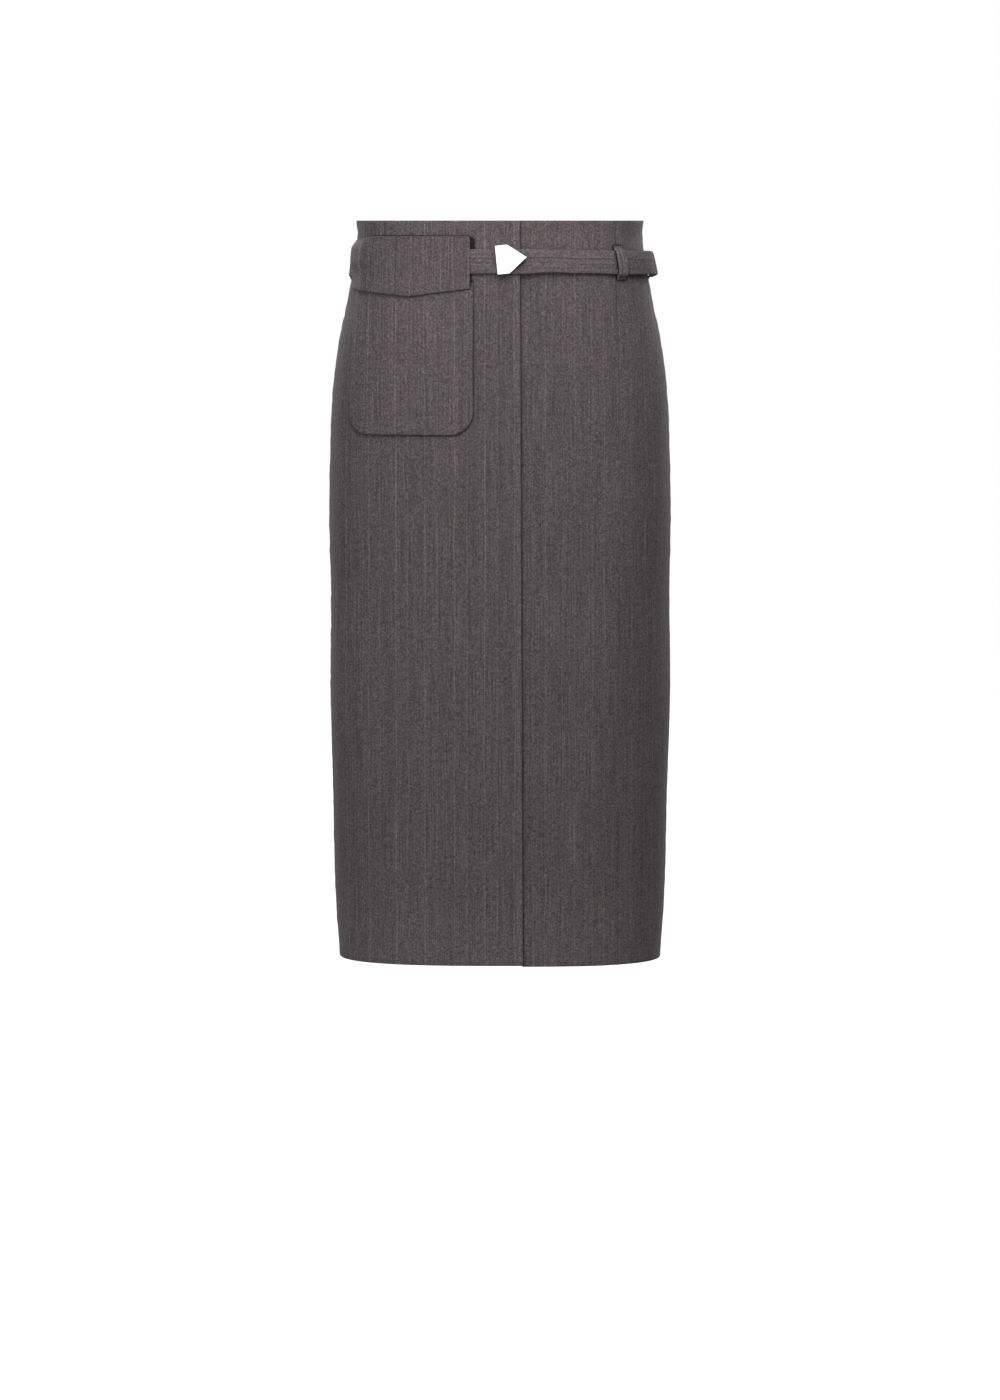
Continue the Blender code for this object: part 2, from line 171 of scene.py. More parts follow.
# Soft folds: the turn and drop of each end, half width, and height (a minus is a trough)
softFolds = {
    "span": 0.235,  # length of a quarter, for distances across a fold
    "fades": (0.0, 0.35, 0.6, 1.0),  # along a fold, as shares of its length
    "front": (
        (0.58, 0.200, 0.40, 0.740, 0.020, 0.0019),
        (0.84, 0.230, 0.74, 0.690, 0.017, -0.0012),
        (0.93, 0.330, 0.93, 0.640, 0.012, 0.0008),
        (0.30, 0.420, 0.22, 0.740, 0.019, -0.0007),
        (-0.28, 0.350, -0.30, 0.720, 0.022, 0.0006),
        (-0.58, 0.300, -0.52, 0.650, 0.018, -0.0006),
        (-0.80, 0.260, -0.76, 0.700, 0.020, 0.0011),
        (-0.93, 0.290, -0.90, 0.560, 0.012, -0.0009),
        (0.96, 0.130, 0.70, 0.235, 0.010, 0.0005),
        (-0.97, 0.215, -0.74, 0.275, 0.009, 0.0005),
    ),
    "back": (
        (1.42, 0.250, 1.50, 0.700, 0.024, 0.0014),
        (1.62, 0.330, 1.66, 0.740, 0.020, -0.0012),
        (1.86, 0.270, 1.84, 0.600, 0.018, 0.0008),
        (1.20, 0.300, 1.26, 0.660, 0.015, -0.0009),
        (-1.36, 0.260, -1.44, 0.640, 0.022, 0.0013),
        (-1.60, 0.300, -1.62, 0.730, 0.019, -0.0010),
        (-1.88, 0.360, -1.90, 0.700, 0.020, 0.0010),
        (-1.16, 0.340, -1.20, 0.700, 0.013, -0.0008),
        (1.66, 0.130, 1.92, 0.176, 0.009, 0.0005),
        (-1.70, 0.152, -1.95, 0.186, 0.008, -0.0005),
        (1.04, 0.105, 1.30, 0.190, 0.009, 0.0005),
        (-1.04, 0.120, -1.32, 0.180, 0.010, 0.0005),
    ),
}

# Small puckers along the side seams: wave length, share of the height, start
seamPuckers = {
    "height": 0.00022,
    "reach": 0.011,
    "waves": ((0.0173, 1.0, 0.3), (0.0291, 0.8, 1.9), (0.0467, 0.9, 4.1)),
}


def foldRelief(turn, drop):
    height = np.zeros(np.broadcast(turn, drop).shape)
    span = softFolds["span"]
    for startTurn, startDrop, endTurn, endDrop, halfWidth, rise in softFolds["front"] + softFolds["back"]:
        sideways = shortTurn(turn - startTurn) * span
        down = drop - startDrop
        alongX, alongY = (endTurn - startTurn) * span, endDrop - startDrop
        length = math.hypot(alongX, alongY)
        t = (sideways * alongX + down * alongY) / length**2
        away = np.abs(sideways * alongY - down * alongX) / length
        height += rise * between(t, *softFolds["fades"]) * bell(away, halfWidth)
    return height


def seamDistance(turn, drop):
    return np.abs(np.abs(shortTurn(turn)) - 1.0) * girth(drop)


def seamRelief(turn, drop):
    ripple = sum(
        share * np.sin(drop / wave * 2 * math.pi + start + np.sign(turn))
        for wave, share, start in seamPuckers["waves"]
    )
    return seamPuckers["height"] * ripple * bell(seamDistance(turn, drop), seamPuckers["reach"])


def clothPoints(turn, drop, out):
    x, y = around(turn, drop)
    outX, outY = outward(turn, drop)
    raised = out + foldRelief(turn, drop)
    return np.stack([x + outX * raised, y + outY * raised, skirtForm["waistDrop"] - drop], -1)


# A rolled edge: its points' distances from the edge and their thickness, as shares
rollAngles = np.radians([0.0, 30.0, 60.0, 90.0])
rollSteps = 1 - np.cos(rollAngles)
rollShares = np.sin(rollAngles)


def edgeShares(count):
    shares = np.ones(count)
    shares[: len(rollShares)] = rollShares
    shares[-len(rollShares):] = rollShares[::-1]
    return shares


def withRolls(start, inner, end, roll):
    # the inner places, with those of a rolled edge before and after them
    return np.concatenate([start + roll * rollSteps[:-1], inner, (end - roll * rollSteps[:-1])[::-1]])


def spread(start, end, roll, step):
    # places from start to end, about a step apart, closer where an end is rolled
    count = max(2, round((end - start - 2 * roll) / step))
    return withRolls(start, np.linspace(start + roll, end - roll, count + 1), end, roll)


def linked(name, data):
    obj = bpy.data.objects.new(name, data)
    bpy.context.scene.collection.objects.link(obj)
    return obj


def setValues(mesh, key, values):
    mesh.attributes.new(key, "FLOAT", "POINT").data.foreach_set("value", values.astype(np.float32))


grids = {}  # the turn and drop of each cloth piece's points

# Each piece is cut from another stretch of the cloth, this far along, so that no flecks repeat
stretches = {
    "frontWrap": 0.0,
    "frontUnder": 0.4,
    "backPanel": 0.9,
    "beltStrap": 2.1,
    "loop": 3.3,
    "pocketPatch": 5.2,
    "pocketFlap": 7.4,
}


def shellMesh(name, turn, drop, out, wall, finish, cloth, shares=None, centre=None):
    # a closed cloth wall with rolled edges: its outer face is at out, or its middle at centre
    rows, columns = turn.shape
    if shares is None:
        shares = edgeShares(rows)[:, None] * edgeShares(columns)[None, :]
    middle = out - wall / 2 if centre is None else centre
    outer = clothPoints(turn, drop, middle + wall / 2 * shares)
    inner = clothPoints(turn, drop, middle - wall / 2 * shares)
    grids[name] = (turn.reshape(-1), drop.reshape(-1))
    return closedMesh(name, outer, inner, finish, cloth)


def closedMesh(name, outer, inner, finish, cloth):
    rows, columns = outer.shape[:2]
    outerIndex = np.arange(rows * columns).reshape(rows, columns)
    innerIndex = outerIndex.copy()
    inside = np.arange((rows - 2) * (columns - 2)).reshape(rows - 2, columns - 2)
    innerIndex[1:-1, 1:-1] = rows * columns + inside
    points = np.concatenate([outer.reshape(-1, 3), inner[1:-1, 1:-1].reshape(-1, 3)])

    def quads(index, flip):
        corners = [index[:-1, :-1], index[1:, :-1], index[1:, 1:], index[:-1, 1:]]
        return np.stack(corners[::-1] if flip else corners, -1).reshape(-1, 4)

    faces = np.concatenate([quads(outerIndex, False), quads(innerIndex, True)])
    mesh = bpy.data.meshes.new(name)
    mesh.from_pydata(points.tolist(), [], faces.tolist())
    for key, values in cloth.items():
        values = np.broadcast_to(values, (rows, columns))
        setValues(mesh, key, np.concatenate([values.reshape(-1), values[1:-1, 1:-1].reshape(-1)]))
    mesh.shade_smooth()
    mesh.materials.append(finish)
    return linked(name, mesh)


def place(piece, slot, *nodes):
    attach(piece, "root")
    if nodes:
        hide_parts(*nodes)
    return piece


def clothArea(piece):
    mesh = piece.data
    areas = np.empty(len(mesh.polygons))
    mesh.polygons.foreach_get("area", areas)
    return areas.sum() / 2


# Sizes of the weave are in millimetres
suitingLook = {
    "color": (0.1040, 0.0883, 0.0926),
    "roughness": 0.82,
    "specular": 0.22,
    "sheen": 0.10,
    "sheenRoughness": 0.4,
    "sheenTint": (0.90, 0.86, 0.88, 1.0),
    "threadPitch": 0.46,
    "weftShare": 1.1,  # the weft's pitch, as a share of the warp's
    "rib": 0.10,
    "crossing": 0.06,
    "stripePitch": 31.0,  # from one strong stripe to the next
    "strongPlace": 15.9,
    "strongHalf": 0.62,  # half width
    "strong": 0.33,
    "weakPlace": 3.0,
    "weakHalf": 1.25,
    "weak": 0.13,
    "companionBeside": 2.1,  # a darker line beside the weak stripe
    "companionHalf": 0.8,
    "companion": -0.12,
    "stripeYarn": (3.0, 9.0, 1.0, 15.1),  # unevenness along a stripe, as in clouds
    "stripeUneven": 0.35,
    "flecks": 0.80,
    "fleckSize": (0.92, 1.08),  # across and along the warp
    # how the tone wanders: width and height of a cell, detail, seed, and how much it counts
    "clouds": {
        "yarn": (0.70, 2.4, 0.0, 3.1, 0.143),
        "pick": (1.7, 0.7, 0.0, 7.7, 0.078),
        "streak": (1.15, 75.0, 1.0, 5.9, 0.25),
        "longStreak": (2.4, 260.0, 1.0, 9.4, 0.05),
        "band": (8.0, 500.0, 1.0, 1.7, 0.04),
        "uneven": (45.0, 70.0, 2.0, 2.2, 0.030),
    },
    "tint": 0.28,
    "tintSize": (1.6, 6.0),
    "wander": 0.8,  # how far the yarns stray from straight
    "wanderSize": (40.0, 75.0),
    "bump": 0.35,
    "bumpHeight": 0.00012,  # m
    "reliefs": (0.5, 0.35, 0.30),  # of the ribs, the crossings and the yarns
}

# Painted shade in a narrow line beside a piece that lies on another, and how much of the colour is left in
# it
paintedContactShade = {
    "reach": 0.010,  # m, as far as it is measured
    "line": (-0.8, 2.6),  # mm from the piece's edge, where it is darkest and where it ends
    "dark": 0.16,
    "softReach": 8.0,  # mm
    "soft": 0.92,
}


def nodeKit(owner):
    tree = owner.node_tree

    def feed(node, inputs):
        # each input gets a link if it is given another node's socket, or else a value
        for key, value in inputs.items():
            if isinstance(value, bpy.types.NodeSocket):
                tree.links.new(value, node.inputs[key])
            else:
                node.inputs[key].default_value = value
        return node

    def put(kind, inputs, **settings):
        node = tree.nodes.new(kind)
        for key, value in settings.items():
            setattr(node, key, value)
        return feed(node, inputs)

    def calc(operation, *values):
        return put("ShaderNodeMath", dict(enumerate(values)), operation=operation).outputs[0]

    return feed, put, calc


def newFinish(name):
    material = bpy.data.materials.new(name)
    material.use_nodes = True
    return material, material.node_tree.nodes["Principled BSDF"], *nodeKit(material)


def wovenFinish(name, look):
    material, shader, feed, put, calc = newFinish(name)

    def stored(key):
        return put("ShaderNodeAttribute", {}, attribute_name=key).outputs["Fac"]

    def cells(x, y, width, height, seed=0.0):
        # a vector that goes up by 1 with each cell of this width and height
        at = {"X": calc("DIVIDE", x, width), "Y": calc("DIVIDE", y, height), "Z": seed}
        return put("ShaderNodeCombineXYZ", at).outputs[0]

    def ramp(value, low, high, atLow, atHigh):
        ends = {"Value": value, "From Min": low, "From Max": high, "To Min": atLow, "To Max": atHigh}
        return put("ShaderNodeMapRange", ends, interpolation_type="SMOOTHSTEP").outputs[0]

    walked, along, striped = (calc("MULTIPLY", stored(key), 1000.0) for key in ("walk", "drop", "stripe"))
    rough = {"Vector": cells(walked, along, *look["wanderSize"]), "Scale": 1.0, "Detail": 1.0}
    stray = put("ShaderNodeTexNoise", rough, noise_dimensions="2D").outputs[0]
    across = calc("MULTIPLY_ADD", stray, 4 * look["wander"], walked)
    stripe = calc("MULTIPLY_ADD", stray, 4 * look["wander"], calc("SUBTRACT", striped, 2 * look["wander"]))
    pitch = look["threadPitch"]

    def cloud(width, height, detail, seed):
        # noise with cells of this width and height, from -1 to 1 or so
        at = cells(across, along, width, height, seed)
        inputs = {"Vector": at, "Scale": 1.0, "Detail": detail, "Roughness": 0.6}
        return calc("MULTIPLY", calc("SUBTRACT", put("ShaderNodeTexNoise", inputs).outputs[0], 0.5), 4.0)

    def flecks(width, height):
        # a random value for each fleck of yarn, from -0.5 to 0.5, whose edges follow the threads
        at = cells(calc("SNAP", across, pitch), calc("SNAP", along, pitch), width, height)
        voronoi = put("ShaderNodeTexVoronoi", {"Vector": at, "Scale": 1.0}, voronoi_dimensions="2D")
        red = put("ShaderNodeSeparateColor", {0: voronoi.outputs["Color"]}).outputs[0]
        return calc("SUBTRACT", red, 0.5)

    def lines(at, halfWidth):
        # 1 on lines a stripe pitch apart, and 0 between them
        away = calc("PINGPONG", calc("SUBTRACT", stripe, at), look["stripePitch"] / 2)
        return ramp(away, 0.25 * halfWidth, 1.6 * halfWidth, 1.0, 0.0)

    def weighted(total, value, weight):
        return calc("MULTIPLY_ADD", value, weight, total)

    warp = calc("DIVIDE", across, pitch)
    weft = calc("DIVIDE", along, pitch * look["weftShare"])
    rib = calc("SINE", calc("MULTIPLY", calc("ADD", warp, weft), math.pi / 2))  # one every four threads
    waves = [calc("SINE", calc("MULTIPLY", thread, 2 * math.pi)) for thread in (warp, weft)]
    crossing = calc("MULTIPLY", *waves)

    # salt and pepper: short lengths of yarn, lighter and darker, then the wider unevenness
    tone = calc("MULTIPLY", flecks(*look["fleckSize"]), look["flecks"])
    clouds = {key: cloud(*values[:-1]) for key, values in look["clouds"].items()}
    for key, uneven in clouds.items():
        tone = weighted(tone, uneven, look["clouds"][key][-1])
    tone = weighted(tone, rib, look["rib"])
    tone = weighted(tone, crossing, look["crossing"])
    broken = calc("MULTIPLY_ADD", cloud(*look["stripeYarn"]), look["stripeUneven"], 1.0)
    for key in ("strong", "weak"):
        line = calc("MULTIPLY", lines(look[key + "Place"], look[key + "Half"]), broken)
        tone = weighted(tone, line, look[key])
    companion = lines(look["weakPlace"] - look["companionBeside"], look["companionHalf"])
    tone = weighted(tone, companion, look["companion"])
    # plus the painted light and painted shade that each piece stores in its light attribute
    bright = calc("EXPONENT", calc("ADD", tone, stored("light")))

    # painted shade: dark in a narrow line beside a piece that lies on this one, and a little darker
    # farther out
    gap = calc("MULTIPLY", calc("SUBTRACT", 1.0, stored("paintedShadeNear")), 1000 * paintedContactShade["reach"])
    hollow = ramp(gap, *paintedContactShade["line"], paintedContactShade["dark"], 1.0)
    soft = ramp(gap, 0.0, paintedContactShade["softReach"], paintedContactShade["soft"], 1.0)
    bright = calc("MULTIPLY", bright, calc("MULTIPLY", hollow, soft))

    # yarns of slightly different greys: plum, brown and green
    tints = put("ShaderNodeTexNoise", {
        "Vector": cells(across, along, *look["tintSize"]), "Scale": 1.0,
    }, noise_dimensions="2D").outputs["Color"]
    gain = look["tint"]
    shift = put("ShaderNodeVectorMath", {
        0: tints, 1: (gain, gain, gain), 2: (1 - gain / 2,) * 3,
    }, operation="MULTIPLY_ADD").outputs[0]
    tinted = put("ShaderNodeVectorMath", {0: shift, 1: look["color"]}, operation="MULTIPLY").outputs[0]
    shade = put("ShaderNodeVectorMath", {0: tinted, "Scale": bright}, operation="SCALE").outputs[0]

    ribRelief, crossingRelief, yarnRelief = look["reliefs"]
    relief = calc("MULTIPLY", rib, ribRelief)
    relief = weighted(relief, crossing, crossingRelief)
    relief = weighted(relief, clouds["yarn"], yarnRelief)
    bump = put("ShaderNodeBump", {
        "Strength": look["bump"], "Distance": look["bumpHeight"], "Height": relief,
    })
    feed(shader, {
        "Base Color": shade,
        "Normal": bump.outputs[0],
        "Roughness": look["roughness"],
        "Specular IOR Level": look["specular"],
        "Sheen Weight": look["sheen"],
        "Sheen Roughness": look["sheenRoughness"],
        "Sheen Tint": look["sheenTint"],
    })
    return material


underLook = {**suitingLook, "strong": 0.19, "weak": 0.09}
pocketLook = {**suitingLook, "color": (0.1100, 0.0935, 0.0985)}
beltingLook = {**suitingLook, "color": (0.1180, 0.1010, 0.1055), "strong": 0.16}
suitingFinish = wovenFinish("suiting", suitingLook)
underFinish = wovenFinish("suitingUnder", underLook)
pocketFinish = wovenFinish("suitingPocket", pocketLook)
beltingFinish = wovenFinish("belting", beltingLook)

threadLook = {
    "color": (0.16, 0.145, 0.148),
    "roughness": 0.6,
    "shades": (0.7, 1.3),  # how far its colour goes down and up
    "fibres": 900.0,
    "twist": 1400.0,
    "bump": 0.4,
    "bumpHeight": 0.00005,
}


def threadFinish():
    material, shader, feed, put, calc = newFinish("sewingThread")
    where = put("ShaderNodeTexCoord", {}).outputs["Object"]
    noise = put("ShaderNodeTexNoise", {"Vector": where, "Scale": threadLook["fibres"], "Detail": 2.0})
    mixed = put("ShaderNodeMix", {"Factor": noise.outputs[0]}, data_type="RGBA")
    for socket, shade in zip("AB", threadLook["shades"]):
        mixed.inputs[socket].default_value = (*(part * shade for part in threadLook["color"]), 1.0)
    twist = put("ShaderNodeTexWave", {
        "Vector": where, "Scale": threadLook["twist"], "Distortion": 1.0,
    }, bands_direction="DIAGONAL")
    bump = put("ShaderNodeBump", {
        "Strength": threadLook["bump"],
        "Distance": threadLook["bumpHeight"],
        "Height": twist.outputs["Fac"],
    })
    feed(shader, {
        "Base Color": mixed.outputs["Result"],
        "Normal": bump.outputs[0],
        "Roughness": threadLook["roughness"],
    })
    return material


sewingThread = threadFinish()

plateLook = {
    "color": (0.93, 0.92, 0.905),
    "metallic": 0.82,
    "roughness": 0.22,
    "smudge": 0.10,  # how much the roughness varies
    "smudgeScale": 130.0,
    "brushing": (60.0, 60.0, 1500.0),
    "bump": 0.04,
    "bumpHeight": 0.00004,
}


def plateFinish():
    material, shader, feed, put, calc = newFinish("polishedPlate")
    where = put("ShaderNodeTexCoord", {}).outputs["Object"]
    stretched = put("ShaderNodeMapping", {"Vector": where, "Scale": plateLook["brushing"]}).outputs[0]
    brushed = put("ShaderNodeTexNoise", {"Vector": stretched, "Scale": 1.0, "Detail": 3.0}).outputs[0]
    smudge = put("ShaderNodeTexNoise", {"Vector": where, "Scale": plateLook["smudgeScale"], "Detail": 3.0})
    smoothest = plateLook["roughness"] - plateLook["smudge"] / 2
    rough = calc("MULTIPLY_ADD", smudge.outputs[0], plateLook["smudge"], smoothest)
    bump = put("ShaderNodeBump", {
        "Strength": plateLook["bump"], "Distance": plateLook["bumpHeight"], "Height": brushed,
    })
    feed(shader, {
        "Base Color": (*plateLook["color"], 1.0),
        "Metallic": plateLook["metallic"],
        "Roughness": rough,
        "Normal": bump.outputs[0],
    })
    return material


polishedPlate = plateFinish()
print("finishes ready")

panelShape = {
    "step": 0.0040,  # between columns
    "seamRoll": 0.00045,  # radius of an edge at a seam
    "freeRoll": 0.0008,  # radius of a folded edge
    "upperStep": 0.0028,  # between rows, down to the hip
    "lowerStep": 0.0055,
    "upperDrop": 0.120,
    "hemAllowance": 0.036,  # turned up inside
    "hemExtra": 0.0007,  # how much thicker the turned-up hem is
    "hemMark": 0.00010,
    "hemFull": 0.00025,
    # painted light along the top edge and above the hem
    "paintedTopLight": 0.17,
    "topBand": (0.022, 0.036),  # drops over which it fades
    "paintedHemLight": 0.16,
    "hemBand": (0.110, 0.025),  # the same, above the hem
}

darts = {
    "halfWidth": 0.0030,
    "depth": 0.0009,
    "dimple": 0.00025,  # at the dart's end
    "intake": 0.013,  # cloth taken up by a front dart at the top edge
    "frontWalk": 0.1252,
    "frontLength": 0.114,
    "backWalk": 0.078,
    "backLength": 0.135,
    "backIntake": 1.6,  # as a share of a front dart's
    "marks": (-0.0030, -0.0019, -0.0011, -0.0005, 0.0, 0.0005, 0.0011, 0.0019, 0.0030),
}

wrapShape = {
    "edgeTopWalk": 0.0205,
    "edgeHemWalk": 0.0238,
    "stitchIn": 0.0066,  # the row of stitches, from the edge
    "stitchMarks": (-0.0022, -0.0011, -0.0005, 0.0, 0.0005, 0.0011, 0.0025, 0.0042),
    "edgeMarks": (-0.002, 0.0, 0.002),
    "groove": 0.00030,
    "grooveHalf": 0.0011,
    "swell": 0.00028,  # the strip between stitches and edge is a little fuller
    # painted light on the strip outside the stitches, painted shade along the stitch row
    "paintedStripLight": 0.16,
    "paintedCreaseShade": -0.12,
    "pucker": 0.00008,  # the stitches gather the cloth a little
    "puckerPitch": 0.0135,
    "puckerReach": 0.007,
    "underlapWalk": -0.100,
    "underDepth": 0.0022,
    "underFade": (0.030, 0.110),
    "underLonger": 0.0012,
    "underShorter": 0.0024,
}


def beside(start, walk, front=True):
    # a line down the cloth that keeps its walk from a start turn
    return lambda drop: start + walk / girth(drop, front)


def panelColumns(left, right, marks, drop, leftRoll, rightRoll):
    # turns of a panel's columns at each drop. A mark is a line that columns follow, with places beside it.
    reach = girth(drop)
    level = np.array([skirtForm["length"] / 3])
    guides = [lambda d: left(d) + leftRoll / girth(d)]
    for line, places in marks:
        guides += [lambda d, line=line, p=p: line(d) + p / girth(d) for p in places]
    guides.append(lambda d: right(d) - rightRoll / girth(d))
    columns = [left(drop) + leftRoll * k / reach for k in rollSteps[:-1]]
    for start, end in zip(guides, guides[1:]):
        widest = float(((end(level) - start(level)) * girth(level))[0])
        count = max(1, round(widest / panelShape["step"]))
        columns += [start(drop) + (end(drop) - start(drop)) * k / count for k in range(count)]
    columns.append(guides[-1](drop))
    columns += [right(drop) - rightRoll * k / reach for k in rollSteps[:-1][::-1]]
    return np.stack(columns, -1)


def panelDrops(foot):
    roll = panelShape["freeRoll"]
    upper = np.arange(roll, panelShape["upperDrop"], panelShape["upperStep"])
    count = round((foot - roll - panelShape["upperDrop"]) / panelShape["lowerStep"])
    lower = np.linspace(panelShape["upperDrop"], foot - roll, count + 1)
    hemLine = foot - panelShape["hemAllowance"] + np.array([-0.0008, 0.0, 0.0008])
    return withRolls(0.0, np.concatenate([upper, np.sort(np.concatenate([lower, hemLine]))]), foot, roll)


def dartGroove(turn, drop, middle, length):
    away = np.abs(turn - middle(drop)) * girth(drop) / darts["halfWidth"]
    crease = bell(away, 0.22)
    hollow = np.maximum(0.0, 1.0 - away) ** 2
    fade = 1.0 - eased(drop, 0.72 * length, length)
    dimple = bell(drop - length, 0.010) * bell(away, 2.2)
    return darts["depth"] * (0.55 * crease + 0.45 * hollow) * fade + darts["dimple"] * dimple


def hemWall(drop, foot):
    line = foot - panelShape["hemAllowance"]
    thicker = panelShape["hemExtra"] * eased(drop, line - 0.0006, line + 0.0006)
    return skirtForm["wall"] + thicker * (drop < foot - 0.0016)


def hemShape(drop, foot):
    # the turn-up marks the outside faintly, and the fold at the hem is full
    mark = bell(drop - (foot - panelShape["hemAllowance"]), 0.003)
    return panelShape["hemMark"] * mark + panelShape["hemFull"] * eased(drop, foot - 0.010, foot)


def paintedBandLight(drop, foot):
    # painted light: a band along the top edge and one above the turned-up hem are a little lighter
    top = panelShape["paintedTopLight"] * (1 - eased(drop, *panelShape["topBand"]))
    return top + panelShape["paintedHemLight"] * eased(drop, *(foot - above for above in panelShape["hemBand"]))


def frontGrain(turn, drop, side):
    # the grain's own place across the cloth: the dart takes up cloth above its end
    walk = turn * girth(drop)
    taken = darts["intake"] * (1.0 - eased(drop, -0.02, darts["frontLength"]))
    return walk + side * taken * (side * walk > darts["frontWalk"])


def wrapEdge(drop):
    share = drop / skirtForm["length"]
    walk = wrapShape["edgeTopWalk"] + (wrapShape["edgeHemWalk"] - wrapShape["edgeTopWalk"]) * share
    return walk / girth(drop)


def wrapStitchLine(drop):
    return wrapEdge(drop) - wrapShape["stitchIn"] / girth(drop)


def wrapRelief(turn, drop):
    fromStitch = (turn - wrapStitchLine(drop)) * girth(drop)
    groove = wrapShape["groove"] * bell(fromStitch, 0.6 * wrapShape["grooveHalf"])
    strip = np.clip(fromStitch / wrapShape["stitchIn"], 0, 1)
    swell = wrapShape["swell"] * np.where(fromStitch > 0, np.sin(math.pi * strip**0.8), 0.0)
    wave = np.sin(drop * 2 * math.pi / wrapShape["puckerPitch"] + 2 * np.sin(drop * 31))
    return swell - groove + wrapShape["pucker"] * wave * bell(fromStitch, wrapShape["puckerReach"])


def makeFrontWrap():
    foot = skirtForm["length"]
    left = beside(-1.0, skirtForm["seamGap"] / 2)
    dart = beside(0.0, -darts["frontWalk"])
    marks = [(dart, darts["marks"]), (wrapStitchLine, wrapShape["stitchMarks"])]
    drop = panelDrops(foot)
    turn = panelColumns(left, wrapEdge, marks, drop, panelShape["seamRoll"], panelShape["freeRoll"])
    drop = np.broadcast_to(drop[:, None], turn.shape)
    out = seamRelief(turn, drop) + wrapRelief(turn, drop) + hemShape(drop, foot)
    out = out - dartGroove(turn, drop, dart, darts["frontLength"])
    grain = frontGrain(turn, drop, -1)
    # painted light on the strip outside the stitches, and painted shade along the row itself
    strip = np.clip((turn - wrapStitchLine(drop)) * girth(drop) / wrapShape["stitchIn"], 0, 1)
    light = wrapShape["paintedStripLight"] * np.minimum(1.0, strip * 8)
    light = light + wrapShape["paintedCreaseShade"] * bell(strip - 0.02, 0.07) * (strip > 0)
    light = light + paintedBandLight(drop, foot)
    cloth = {"walk": grain + stretches["frontWrap"], "stripe": -grain, "drop": drop, "light": light}
    panel = shellMesh("frontWrap", turn, drop, out, hemWall(drop, foot), suitingFinish, cloth)
    return place(panel, "suiting", "front_wrap")


def makeFrontUnder():
    foot = skirtForm["length"] + wrapShape["underLonger"]
    left = beside(0.0, wrapShape["underlapWalk"])
    dart = beside(0.0, darts["frontWalk"])
    right = beside(1.0, -skirtForm["seamGap"] / 2)
    marks = [(wrapEdge, wrapShape["edgeMarks"]), (dart, darts["marks"])]
    drop = panelDrops(foot)
    turn = panelColumns(left, right, marks, drop, panelShape["freeRoll"], panelShape["seamRoll"])
    drop = np.broadcast_to(drop[:, None], turn.shape)
    # under the other panel its hem is a little shorter, so that only the visible part shows
    hidden = 1 - eased((turn - wrapEdge(drop)) * girth(drop), -0.004, 0.0)
    drop = drop - wrapShape["underShorter"] * hidden * eased(drop, foot - 0.030, foot)
    low, high = (walk / girth(drop) for walk in wrapShape["underFade"])
    behind = wrapShape["underDepth"] * (1 - eased(turn, low, high))
    out = seamRelief(turn, drop) * (turn > 0) + hemShape(drop, foot) - behind
    out = out - dartGroove(turn, drop, dart, darts["frontLength"])
    grain = frontGrain(turn, drop, 1)
    light = paintedBandLight(drop, foot)
    cloth = {"walk": grain + stretches["frontUnder"], "stripe": grain, "drop": drop, "light": light}
    panel = shellMesh("frontUnder", turn, drop, out, hemWall(drop, foot), underFinish, cloth)
    return place(panel, "suiting", "front_under")


def makeBack():
    foot = skirtForm["length"]
    right = beside(1.0, skirtForm["seamGap"] / 2, False)
    left = beside(3.0, -skirtForm["seamGap"] / 2, False)
    dartLines = [beside(2.0, side * darts["backWalk"], False) for side in (-1, 1)]
    marks = [(dart, darts["marks"]) for dart in dartLines]
    drop = panelDrops(foot)
    turn = panelColumns(right, left, marks, drop, panelShape["seamRoll"], panelShape["seamRoll"])
    drop = np.broadcast_to(drop[:, None], turn.shape)
    out = seamRelief(turn, drop) + hemShape(drop, foot)
    for dart in dartLines:
        out = out - dartGroove(turn, drop, dart, darts["backLength"])
    walk = (turn - 2.0) * girth(drop, False)
    taken = darts["backIntake"] * darts["intake"] * (1.0 - eased(drop, -0.02, darts["backLength"]))
    grain = walk + np.sign(walk) * taken * (np.abs(walk) > darts["backWalk"])
    light = paintedBandLight(drop, foot)
    cloth = {"walk": grain + stretches["backPanel"], "stripe": np.abs(grain), "drop": drop, "light": light}
    panel = shellMesh("backPanel", turn, drop, out, hemWall(drop, foot), suitingFinish, cloth)
    return place(panel, "suiting", "back")


frontWrap = makeFrontWrap()
frontUnder = makeFrontUnder()
backPanel = makeBack()
print("panels ready:", [round(clothArea(p), 4) for p in (frontWrap, frontUnder, backPanel)])

